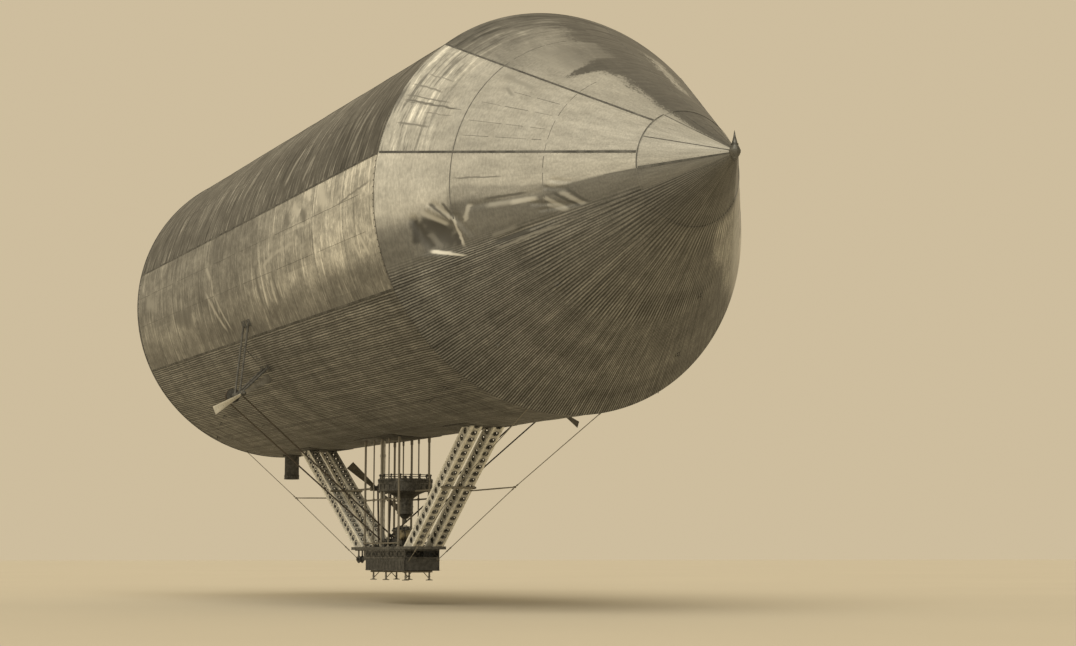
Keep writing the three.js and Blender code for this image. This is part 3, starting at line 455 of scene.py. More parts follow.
@dataclass(frozen=True)
class HullSheet:
    """Rolled aluminium sheet: tones by strake that paint light and shade, streaks along the rolling, smears
    and fine lines.
    """

    part: HullPart
    belly_shade_tone: float = 0.125
    squash: float = 0.975
    low_seam: float = -26.5
    side_seam: float = 11.2
    top_seam: float = 49.4
    half_edge: float = 0.25
    degrees: float = 180.0 / math.pi
    metres_per_degree: float = 0.1
    plate_length: float = 2.43
    plate_width: float = 1.17
    rear: float = -13.2
    hatch_pitch: float = 0.0775
    brightest: float = 0.82

    def strakes(self, g: Graph, angle: Number, turned: Number) -> Number:
        """Gives the tone of each strake between the heavy seams, in painted light and shade, with the belly
        darkened as painted shade.

        Args:
            g: The material's graph.
            angle: Degrees above the horizontal.
            turned: Degrees round the hull from starboard, frayed by noise.

        Returns:
            The tone.
        """
        parts = {HullPart.BARREL: self.barrel, HullPart.NOSE: self.nose, HullPart.CAP: self.cap}
        if self.part in parts:
            under, low, upper, top = parts[self.part](g, angle, turned)
        else:
            under, low, upper, top = self.belly_shade_tone, 0.34, 0.20, 0.17
        # Painted light and shade: the belly below the low seam takes a dark painted shade tone, and the
        # strakes above it take the lit and shaded tones of each part.
        tone = angle.ramp(self.low_seam - self.half_edge, self.low_seam + self.half_edge, under, low)
        tone = angle.ramp(self.side_seam - self.half_edge, self.side_seam + self.half_edge, tone, upper)
        tone = angle.ramp(self.top_seam - self.half_edge, self.top_seam + self.half_edge, tone, top)
        return self.far_reflection(g, turned, tone) if self.part is HullPart.NOSE else tone

    @staticmethod
    def barrel(g: Graph, angle: Number, _: Number) -> tuple[Number, ...]:
        """Gives the barrel's four tones of painted light and shade: paler toward the nose and darker toward
        the low seam.

        Args:
            g: The material's graph.
            angle: Degrees above the horizontal.
            _: The frayed angle, which only the nose and the cap use.

        Returns:
            The tones of the belly, the low strake, the upper one and the top.
        """
        # Painted light and shade: the low strake is pale and lit toward the nose, the upper strakes and top
        # are darkened as painted shade, and the belly is dark painted shade.
        ahead = g.x.ramp(-1.0, 8.0, 0.205, 0.43)
        along = g.x.ramp(-11.5, -1.0, 0.205, ahead)
        foot, head = g.x.ramp(-3.0, 9.0, -23.0, -20.0), g.x.ramp(-3.0, 9.0, -15.0, -12.5)
        low = along * angle.ramp(foot, head, g.x.ramp(-6.0, 8.0, 0.72, 0.40), 1.0)
        upper = g.x.ramp(2.0, 10.0, g.x.ramp(-9.0, -4.0, 0.070, 0.084), 0.058)
        return g.x.ramp(0.0, 9.0, 0.143, 0.132), low, upper, upper

    def nose(self, g: Graph, angle: Number, turned: Number) -> tuple[object, ...]:
        """Gives the nose's four tones of painted light and shade, with the frayed border of the painted shade
        in the low strake.

        Args:
            g: The material's graph.
            angle: Degrees above the horizontal.
            turned: Degrees round the hull from starboard, frayed by noise.

        Returns:
            The tones of the belly, the low strake, the upper one and the top.
        """
        border = g.x.ramp(12.80, 13.08, -9.0, g.x.ramp(13.1, 15.2, -0.6, -4.6))
        border = g.x.ramp(15.25, 15.60, border, g.x.ramp(15.6, 17.5, -7.6, -5.0))
        softness = g.x.ramp(12.8, 13.2, 4.5, 1.0)
        middle = g.x.ramp(15.2, 15.5, g.x.ramp(12.7, 13.1, 0.17, 0.27), 0.15)
        # Painted shade on the belly, lighter toward the very bottom, and on the low strake below the frayed
        # border; painted light above it.
        under = angle.ramp(-72.0, -45.0, 0.150, self.belly_shade_tone)
        shaded = angle.ramp(-26.0, -14.0, under, 0.145)
        shaded = angle.ramp(border - 7.0, border - 3.5, shaded, middle)
        low = angle.ramp(border - softness, border + softness, shaded, g.x.ramp(11.8, 13.4, 0.445, 0.392))
        return under, low, g.x.ramp(11.8, 13.4, 0.40, 0.345), self.top(g, turned)

    def cap(self, g: Graph, angle: Number, turned: Number) -> tuple[object, ...]:
        """Gives the nose cap's four tones of painted light and shade: the belly, the low strake, the upper
        one and the top.
        """
        return self.belly_shade_tone, angle.ramp(-5.4, -4.8, 0.155, 0.33), 0.33, self.top(g, turned)

    @staticmethod
    def top(g: Graph, turned: Number) -> Number:
        """Gives the nose's top strake in painted light and shade: grey at the rim, pale ahead, a dark painted
        shade beyond a frayed border.

        Args:
            g: The material's graph.
            turned: Degrees round the hull from starboard, frayed by noise.

        Returns:
            The tone.
        """
        border = 83.0
        for start, end, value in TOP_SHADE_BORDER:
            border = g.x.ramp(start, end, border, value)
        middle = g.x.ramp(11.3, 12.4, 0.110, 0.225)
        middle = g.x.ramp(13.0, 13.7, middle, turned.ramp(57.0, 74.0, 0.30, 0.165))
        pale = g.x.ramp(14.4, 14.9, middle, 0.335)
        swept = turned.ramp(border - 3.5, border + 3.5, pale, 0.078)
        # Painted highlight: a pale band round at 110 to 118 degrees, between stations 12.3 and 15.3.
        lit = g.x.ramp(15.3, 15.8, g.x.ramp(12.3, 12.8, 0.0, 0.27), 0.0)
        return lit * turned.ramp(110.5, 112.0) * turned.ramp(116.5, 118.0, 1.0, 0.0) + swept

    @staticmethod
    def far_reflection(g: Graph, turned: Number, tone: Number) -> Number:
        """Lays a painted reflection, a pale patch that shows past the nose's port shoulder, over the tone.

        Args:
            g: The material's graph.
            turned: Degrees round the hull from starboard, frayed by noise.
            tone: The tone below it.

        Returns:
            The tone.
        """
        border = g.x.ramp(14.0, 17.0, g.x.ramp(11.2, 14.0, -157.5, -146.5), -125.5)
        inside = turned.ramp(border - 4.0, border + 1.0, 1.0, 0.0) * turned.ramp(-177.0, -173.0)
        return inside * g.x.ramp(17.0, 17.6, 1.0, 0.0) * 0.17 + tone

    def streak_strength(self, g: Graph, angle: Number) -> object:
        """Gives how strongly the streaks round the hull show.

        Args:
            g: The material's graph.
            angle: Degrees above the horizontal.

        Returns:
            The strength, a number of the material or a plain one.
        """
        low, high = self.side_seam - 0.3, self.side_seam + 0.3
        if self.part is HullPart.BARREL:
            return angle.ramp(low, high, 0.85, 3.0)
        if self.part is HullPart.NOSE:
            return g.x.ramp(11.7, 13.0, 1.7, 0.08) * angle.ramp(low, high, 0.20, 1.0)
        return 0.05 if self.part is HullPart.CAP else 0.55

    def paint_light_and_streaks(self, g: Graph, tone: Number, arc: Number, warp: Number) -> Number:
        """Lays the smears, painted highlights and shade with some of the sheet's own streaks, over the tone.

        Args:
            g: The material's graph.
            tone: The tone below them.
            arc: Distance above the horizontal along the section.
            warp: Noise that frays their edges.

        Returns:
            The tone.
        """
        shift = warp * 0.20 - 0.10
        place = g.vector(g.x + shift, arc - shift, 0.0)
        starboard = g.y.ramp(-0.2, 0.2, 0.92, 0.0)
        for smear in PAINTED_LIGHT_AND_STREAKS.get(self.part, ()):
            start, end = ((x, angle * self.metres_per_degree) for x, angle in (smear.start, smear.end))
            along, gap = g.gap(place, start, end)
            ends = (along - 0.5).use("ABSOLUTE").ramp(0.30, 0.5, 1.0, 0.0)
            share = gap.ramp(0.15 * smear.width, smear.width, 1.0, 0.0) * ends
            share = share * (0.92 if smear.both_sides else starboard)
            tone = tone + share * (smear.tone - tone)
        return tone

    def hatched(self, g: Graph, arc: Number, warp: Number) -> Number:
        """Gives the fine lines along the belly, which thin out toward the tip.

        Args:
            g: The material's graph.
            arc: Distance above the horizontal along the section.
            warp: Noise that bends them.

        Returns:
            Multipliers around one.
        """
        wave = (arc + warp * 0.06) * (FULL_TURN / self.hatch_pitch)
        hatch = wave.use("SINE")
        for share, start, end in ((0.5, 14.0, 14.8), (0.25, 16.2, 16.9)):
            hatch = g.x.ramp(start, end, hatch, (wave * share).use("SINE"))
        return hatch * g.x.ramp(14.2, 16.0, 0.80, 0.52) + 1.0

    def material(self) -> bpy.types.Material:
        """Builds the node material, or gives back the one that is there.

        Returns:
            The material.
        """
        name = f"hull_sheet_{self.part.value}"
        made = bpy.data.materials.get(name)
        if made:
            return made
        g = Graph(name)
        height, sideways = g.z / self.squash, g.y.use("ABSOLUTE")
        angle = height.use("ARCTAN2", sideways) * self.degrees
        turned = height.use("ARCTAN2", g.y * -1.0) * self.degrees
        side = g.y.use("SIGN") * 37.0
        arc = angle * self.metres_per_degree

        def sheet_noise(along: float, around: float, detail: float, rough: float = 0.55) -> Number:
            """Gives noise with its own fineness along the hull and round it."""
            return g.noise(g.vector(g.x * along, arc * around, side), 1.0, detail, rough)

        round_fine = sheet_noise(7.5, 0.55, 4.0, 0.6)
        grain = sheet_noise(22.0, 6.0, 2.0, 0.6)
        cloud = sheet_noise(0.55, 0.8, 4.0, 0.55)
        blotch = sheet_noise(1.9, 2.6, 5.0, 0.65)
        long_fine = sheet_noise(0.16, 10.0, 4.0, 0.7)
        warp = sheet_noise(2.2, 2.2, 3.0, 0.6)

        calm = self.part in (HullPart.NOSE, HullPart.CAP)
        strength = self.streak_strength(g, angle)
        depth, spread = (0.10, 0.12) if calm else (0.26, 0.25)
        pale = round_fine.ramp(0.53, 0.70) * strength * (0.5 if calm else 1.0) + 1.0
        low, high = (0.36, 0.50) if calm else (0.30, 0.46)
        dark = round_fine.ramp(low, high, 1.0, 0.0) * strength * -0.32 + 1.0
        plates = g.cells((g.x - self.rear) / self.plate_length, arc / self.plate_width)
        pattern = pale * dark
        for part in (
            cloud.ramp(0.30, 0.70, 1.0 - depth, 1.0 + depth),
            grain.ramp(0.30, 0.70, 1.0 - spread, 1.0 + spread),
            blotch.ramp(0.35, 0.65, 1.0 - 0.8 * spread, 1.0 + 0.8 * spread),
            plates.ramp(0.0, 1.0, 0.985 if calm else 0.88, 1.015 if calm else 1.13),
        ):
            pattern = pattern * part
        lined = self.hatched(g, arc, warp)
        for part in (
            sheet_noise(0.9, 0.12, 3.0).ramp(0.35, 0.65, 0.86, 1.14),
            long_fine.ramp(0.37, 0.63, 0.72, 1.30),
            blotch.ramp(0.32, 0.68, 0.80, 1.20),
            grain.ramp(0.32, 0.68, 0.84, 1.16),
        ):
            lined = lined * part
        fade = 9.0 if self.part is HullPart.NOSE else 0.3
        under = angle.ramp(self.low_seam - 0.3, self.low_seam + fade, 1.0, 0.0)
        pattern = under.ramp(0.0, 1.0, pattern, lined)

        frayed = turned + (grain * 22.0 + blotch * 16.0 - 19.0)
        tone = self.strakes(g, angle, frayed) * pattern
        tone = self.paint_light_and_streaks(g, tone, arc, warp).use("MINIMUM", self.brightest)
        g.bump(under.ramp(0.0, 1.0, round_fine, long_fine), 0.35, 0.0015 if calm else 0.004)
        return g.finish(g.tinted(tone, SEPIA), round_fine.ramp(0.3, 0.7, 0.50, 0.38) + under * 0.22, 0.40)


GIRDER = faded("pale_girder", 0.92, 0.78, 0.42, 0.15, 0.5, 7.0)
TUBE = faded("dark_tube", 0.022, 0.013, 0.045, 0.0, 0.85, 9.0)
# Painted shade: the outrigger struts and the filling neck are toned as dark as the hull's painted belly
# shade, against which they stand.
BELLY_SHADE_STRUT = faded("belly_shade_strut", 0.10, 0.06, 0.13, 0.1, 0.8, 9.0)
STRAP = faded("seam_strap", 0.10, 0.055, 0.2, 0.4, 0.55, 6.0)
IRON = faded("oily_iron", 0.09, 0.045, 0.2, 0.5, 0.45, 10.0)
PIPE = faded("pale_pipe", 0.62, 0.45, 0.2, 0.4, 0.45, 6.0)
BLADE = faded("blade_sheet", 0.86, 0.72, 0.40, 0.25, 0.45, 5.0)
DULL = faded("dull_frame", 0.12, 0.07, 0.05, 0.3, 0.55, 8.0)
WEB = faded("punched_web", 0.62, 0.46, 0.26, 0.15, 0.55, 7.0)
RIM = faded("hole_rims", 0.10, 0.06, 0.16, 0.2, 0.6, 12.0)
TUB = faded("tarred_tub", 0.062, 0.036, 0.11, 0.2, 0.6, 8.0)
LINE = faded("light_seam", 0.15, 0.09, 0.21, 0.2, 0.6, 8.0)
RIVET = faded("rivet_heads", 0.22, 0.12, 0.35, 0.6, 0.4, 20.0)
# Painted shade: the blade sheet darkened, for the second blade of each side screw and for both blades of the
# centre screw.
SHADED_BLADE = Weathered(
    "shaded_blade", (0.080, 0.070, 0.048), (0.048, 0.042, 0.028), sepia(0.12), 0.1, 0.65, 5.0
)
BRASS = Weathered(
    "dull_brass", (0.36, 0.315, 0.21), (0.25, 0.215, 0.135), (0.12, 0.105, 0.075), 0.7, 0.42, 8.0
)
LEATHER = Weathered(
    "belt_leather", (0.045, 0.034, 0.022), (0.025, 0.018, 0.012), (0.085, 0.065, 0.042), 0.0, 0.7, 18.0
)
LACE = Weathered("lacing", (0.24, 0.19, 0.12), (0.15, 0.11, 0.07), (0.06, 0.045, 0.03), 0.0, 0.8, 40.0)
PLANK = Weathered(
    "floor_slats", (0.16, 0.12, 0.075), (0.09, 0.065, 0.04), (0.05, 0.04, 0.03), 0.0, 0.75, 12.0,
    stretch=(0.3, 1.0, 1.0),
)


# Meshes


def axes(way: Point) -> tuple[Vector, Vector, Vector]:
    """Gives a direction as a unit vector, and two unit vectors square to it."""
    along = Vector(way).normalized()
    across = along.cross(Vector(UP if abs(along.z) < 0.9 else AHEAD)).normalized()
    return along, across, across.cross(along)


def around(centre: Vector, across: Vector, up: Vector, radius: float, sides: int) -> list[Vector]:
    """Gives the points of a circle in the plane of two directions."""
    turns = (FULL_TURN * k / sides for k in range(sides))
    return [centre + (across * math.cos(t) + up * math.sin(t)) * radius for t in turns]


def band(inner: float, outer: float, low: float, high: float) -> list[Pair]:
    """Gives the profile of a ring of rectangular section, as distances along its axis and radii."""
    return [(low, inner), (low, outer), (high, outer), (high, inner)]


def mirrored(length: float, half: Sequence[Pair]) -> list[Pair]:
    """Gives a profile that is the same from both ends, from its length and its first half."""
    return [*half, *((length - at, radius) for at, radius in reversed(half))]


@dataclass
class Gather:
    """Collects closed bodies and makes one mesh of them."""

    points: list[Point] = field(default_factory=list)
    faces: list[tuple[int, ...]] = field(default_factory=list)

    def loft(self, rings: Sequence[Sequence[Point]], endless: bool = False) -> None:
        """Adds a body through rings of equal count.

        Args:
            rings: The rings' points, in order along the body.
            endless: Joins the last ring to the first instead of closing both ends.
        """
        first, count, total = len(self.points), len(rings[0]), len(rings)
        for ring in rings:
            self.points.extend(tuple(map(float, point)) for point in ring)
        for s in range(total if endless else total - 1):
            low, high = first + s * count, first + ((s + 1) % total) * count
            for k in range(count):
                after = (k + 1) % count
                self.faces.append((low + k, low + after, high + after, high + k))
        if not endless:
            last = first + (total - 1) * count
            self.faces.append(tuple(first + k for k in reversed(range(count))))
            self.faces.append(tuple(last + k for k in range(count)))

    def turned(self, start: Point, way: Point, profile: Sequence[Pair], sides: int = 20) -> None:
        """Adds a body turned about a line, closed at both ends.

        Args:
            start: Where the line starts.
            way: Its direction.
            profile: Distances from the start and radii.
            sides: Faces round it.
        """
        along, across, up = axes(way)
        self.loft([around(Vector(start) + along * at, across, up, radius, sides) for at, radius in profile])

    def bar(self, start: Point, end: Point, radius: float, sides: int = 12) -> None:
        """Adds a round bar between two points."""
        line = Vector(end) - Vector(start)
        self.turned(start, line, [(0.0, radius), (line.length, radius)], sides)

    def hoop(self, start: Point, way: Point, profile: Sequence[Pair], sides: int = 32) -> None:
        """Adds a ring about a line, from a closed profile.

        Args:
            start: Where the line starts.
            way: Its direction.
            profile: Distances from the start and radii, round the section.
            sides: Steps round the line.
        """
        along, across, up = axes(way)
        rings = []
        for out in around(Vector(), across, up, 1.0, sides):
            rings.append([Vector(start) + along * at + out * radius for at, radius in profile])
        self.loft(rings, endless=True)

    def box(self, low: Point, high: Point) -> None:
        """Adds a block between two corners."""
        (x0, x1), (y0, y1), (z0, z1) = (sorted(pair) for pair in zip(low, high))
        self.loft([[(x0, y0, z), (x1, y0, z), (x1, y1, z), (x0, y1, z)] for z in (z0, z1)])

    def slab(self, centre: Pair, half: Pair, low: float, high: float) -> None:
        """Adds a block between two heights, from its middle and half its length and width."""
        (x, y), (a, b) = centre, half
        self.box((x - a, y - b, low), (x + a, y + b, high))

    def path(self, line: Sequence[Point], radius: float, sides: int = 8) -> None:
        """Adds a round bar along a bent line.

        Args:
            line: The points that it passes.
            radius: Its radius.
            sides: Faces round it.
        """
        places = [Vector(point) for point in line]
        heads = [(after - before).normalized() for before, after in zip(places, places[1:])]
        across = axes(places[1] - places[0])[1]
        rings = []
        for place, before, after in zip(places, [heads[0], *heads], [*heads, heads[-1]]):
            head = (before + after).normalized()
            across = (across - head * across.dot(head)).normalized()
            rings.append(around(place, across, head.cross(across), radius / max(0.4, head.dot(after)), sides))
        self.loft(rings)

    def build(
        self, name: str, finish: object, slot: Slot, *replaces: str,
        body: str = HULL_BODY, angle: float = 38.0,
    ) -> bpy.types.Object:
        """Makes the gathered bodies one piece of the airship.

        Args:
            name: The piece's name.
            finish: What gives its material.
            slot: The record's slot, which it passes on.
            replaces: CAD nodes that it stands for.
            body: The CAD body that it rides on.
            angle: Edges sharper than this many degrees stay sharp.

        Returns:
            The new object.
        """
        mesh = bpy.data.meshes.new(name)
        mesh.from_pydata(self.points, [], self.faces)
        work = bmesh.new()
        work.from_mesh(mesh)
        bmesh.ops.recalc_face_normals(work, faces=work.faces)
        work.to_mesh(mesh)
        work.free()
        mesh.materials.append(finish.material())
        return place_piece(name, mesh, slot, replaces, body, angle)


def place_piece(
    name: str, mesh: bpy.types.Mesh, slot: Slot, nodes: Sequence[str], body: str, angle: float = 38.0
) -> bpy.types.Object:
    """Puts a finished mesh in the scene as a piece of the airship.

    Args:
        name: The piece's name.
        mesh: Its mesh, in place and with its material.
        slot: Not used.
        nodes: CAD nodes that it stands for.
        body: The CAD body that it rides on.
        angle: Edges sharper than this many degrees stay sharp.

    Returns:
        The new object.
    """
    mesh.polygons.foreach_set("use_smooth", [True] * len(mesh.polygons))
    mesh.set_sharp_from_angle(angle=math.radians(angle))
    piece = bpy.data.objects.new(name, mesh)
    bpy.context.scene.collection.objects.link(piece)
    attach(piece, body)
    if nodes:
        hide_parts(*nodes)
    log.info("%s: %d faces, on %s", name, len(mesh.polygons), body)
    return piece


# Geometry Nodes


class Shape(Enum):
    """What a scatter sets on each of its points."""

    STUD = "stud"
    BLOCK = "block"
    RIM = "rim"


class Scatter:
    """A node tree that sets one small shape on each point of a mesh, turned by the point's directions.

    A stud is a turned head with Size x as its foot's radius, y as its top's radius and z as its height.
    A block has Size as its edges. A rim is a round bar bent to a ring, of radius x and thickness y.
    """

    def __init__(self, shape: Shape) -> None:
        """Builds the tree, with its sizes as named inputs.

        Args:
            shape: What it sets on the points.
        """
        self.tree = bpy.data.node_groups.new(f"scatter_{shape.value}", "GeometryNodeTree")
        face = self.tree.interface
        face.new_socket("Points", in_out="INPUT", socket_type="NodeSocketGeometry")
        kinds = {"Size": "NodeSocketVector", "Sides": "NodeSocketInt", "Material": "NodeSocketMaterial"}
        self.inputs = {}
        for label, kind in kinds.items():
            self.inputs[label] = face.new_socket(label, in_out="INPUT", socket_type=kind).identifier
        face.new_socket("Shapes", in_out="OUTPUT", socket_type="NodeSocketGeometry")
        given = self.node("NodeGroupInput").outputs
        sizes = self.node("ShaderNodeSeparateXYZ", Vector=given["Size"]).outputs
        if shape is Shape.STUD:
            foot = {"Radius Bottom": sizes[0], "Radius Top": sizes[1], "Depth": sizes[2]}
            item = self.node("GeometryNodeMeshCone", Vertices=given["Sides"], **foot)
        elif shape is Shape.BLOCK:
            item = self.node("GeometryNodeMeshCube", Size=given["Size"])
        else:
            circle = "GeometryNodeCurvePrimitiveCircle"
            line = self.node(circle, Radius=sizes[0], Resolution=given["Sides"]).outputs["Curve"]
            section = self.node(circle, Radius=sizes[1], Resolution=5).outputs["Curve"]
            item = self.node("GeometryNodeCurveToMesh", **{"Curve": line, "Profile Curve": section})
        rotation = self.turn("along", "X", "Z", Rotation=self.turn("outward", "Z", "AUTO"))
        seats = {"Points": given["Points"], "Instance": item.outputs["Mesh"], "Rotation": rotation}
        spread = self.node("GeometryNodeInstanceOnPoints", **seats).outputs["Instances"]
        real = self.node("GeometryNodeRealizeInstances", Geometry=spread).outputs["Geometry"]
        coat = self.node("GeometryNodeSetMaterial", Geometry=real, Material=given["Material"])
        self.node("NodeGroupOutput", Shapes=coat.outputs["Geometry"])

    def node(self, kind: str, **values: object) -> bpy.types.Node:
        """Adds a node and links or sets its named inputs.

        Args:
            kind: The node's type.
            values: What its inputs take, output sockets or plain values.

        Returns:
            The new node.
        """
        node = self.tree.nodes.new(kind)
        for name, value in values.items():
            if isinstance(value, bpy.types.NodeSocket):
                self.tree.links.new(value, node.inputs[name])
            else:
                node.inputs[name].default_value = value
        return node

    def turn(self, attribute: str, axis: str, pivot: str, **values: object) -> bpy.types.NodeSocket:
        """Turns a shape's axis along a direction kept at each point.

        Args:
            attribute: The direction's name.
            axis: The shape's axis.
            pivot: The axis that it turns about, or AUTO.
            values: The rotation so far, where there is one.

        Returns:
            The rotation.
        """
        read = self.node("GeometryNodeInputNamedAttribute", Name=attribute)
        read.data_type = "FLOAT_VECTOR"
        node = self.node("FunctionNodeAlignRotationToVector", Vector=read.outputs["Attribute"], **values)
        node.axis, node.pivot_axis = axis, pivot
        return node.outputs["Rotation"]


@cache
def scatter(shape: Shape) -> Scatter:
    """Gives a shape's node tree, built once."""
    return Scatter(shape)


@dataclass
class Spots:
    """Points for a scatter, each with the way that it faces and the way that it lies."""

    places: list[Point] = field(default_factory=list)
    outward: list[Point] = field(default_factory=list)
    along: list[Point] = field(default_factory=list)

    def add(self, place: Point, outward: Point, along: Point = AHEAD) -> None:
        """Adds one point.

        Args:
            place: Where it is.
            outward: The way that it faces.
            along: The way that it lies.
        """
        for kept, value in ((self.places, place), (self.outward, outward), (self.along, along)):
            kept.append(tuple(map(float, value)))

    def row(self, start: Point, end: Point, pitch: float, outward: Point) -> None:
        """Adds evenly spaced points between two ends, with half a space before each end.

        Args:
            start: One end.
            end: The other end.
            pitch: Space between them, at least nearly.
            outward: The way that they face.
        """
        line = Vector(end) - Vector(start)
        count = max(1, round(line.length / pitch))
        for k in range(count):
            self.add(Vector(start) + line * ((k + 0.5) / count), outward, line.normalized())

    def circle(
        self, centre: Point, way: Point, radius: float, count: int, radial: bool = False, phase: float = 0.0
    ) -> None:
        """Adds points round a circle, facing along its axis or away from it.

        Args:
            centre: The circle's centre.
            way: Its axis.
            radius: Its radius.
            count: How many points.
            radial: Whether they face away from the centre.
            phase: Turn of the first one, in steps.
        """
        along, across, up = axes(way)
        for k in range(count):
            turn = FULL_TURN * (k + phase) / count
            out = across * math.cos(turn) + up * math.sin(turn)
            self.add(Vector(centre) + out * radius, out if radial else along, along if radial else out)

    def grow(
        self,
        name: str,
        slot: Slot,
        size: Point,
        finish: Weathered = RIVET,
        shape: Shape = Shape.STUD,
        sides: int = 6,
        body: str = HULL_BODY,
    ) -> bpy.types.Object:
        """Sets a small shape on each point and makes them one piece.

        Args:
            name: The piece's name.
            slot: The record's slot.
            size: The shape's three sizes.
            finish: The finish.
            shape: The shape.
            sides: Faces round it.
            body: The CAD body that it rides on.

        Returns:
            The new object.
        """
        tree = scatter(shape)
        seed = bpy.data.meshes.new(f"{name}_places")
        seed.from_pydata(self.places, [], [])
        for label, directions in (("outward", self.outward), ("along", self.along)):
            attribute = seed.attributes.new(label, "FLOAT_VECTOR", "POINT")
            attribute.data.foreach_set("vector", np.asarray(directions, dtype=np.float32).ravel())
        carrier = bpy.data.objects.new(f"{name}_places", seed)
        bpy.context.scene.collection.objects.link(carrier)
        modifier = carrier.modifiers.new("grow", "NODES")
        modifier.node_group = tree.tree
        for label, value in (("Size", size), ("Sides", sides), ("Material", finish.material())):
            modifier[tree.inputs[label]] = value
        bpy.context.view_layer.update()
        mesh = bpy.data.meshes.new_from_object(carrier.evaluated_get(bpy.context.evaluated_depsgraph_get()))
        mesh.name = name
        carrier.modifiers.clear()
        bpy.data.objects.remove(carrier)
        bpy.data.meshes.remove(seed)
        return place_piece(name, mesh, slot, (), body)


# Hull


DENTS = (
    ((12.05, -9.5), (12.32, -19.0), 0.10, 0.045),
    ((12.45, -7.0), (12.95, -12.2), 0.07, -0.022),
    ((12.62, -6.0), (13.02, -11.0), 0.06, 0.020),
    ((12.95, -11.0), (13.30, -19.5), 0.07, -0.030),
    ((13.12, -11.0), (13.42, -18.5), 0.07, 0.024),
    ((12.35, -20.8), (12.75, -22.8), 0.07, -0.020),
    ((12.75, -22.8), (13.20, -24.4), 0.07, -0.020),
    ((15.05, -13.5), (16.05, -19.5), 0.06, 0.030),
    ((15.20, -17.5), (16.20, -20.5), 0.05, 0.026),
    ((15.60, -4.2), (16.00, -6.6), 0.06, 0.024),
    ((15.42, -7.4), (15.92, -10.0), 0.06, 0.026),
    ((14.00, -23.8), (15.40, -23.6), 0.07, 0.026),
    ((13.60, -8.8), (15.20, -9.0), 0.09, 0.022),
)


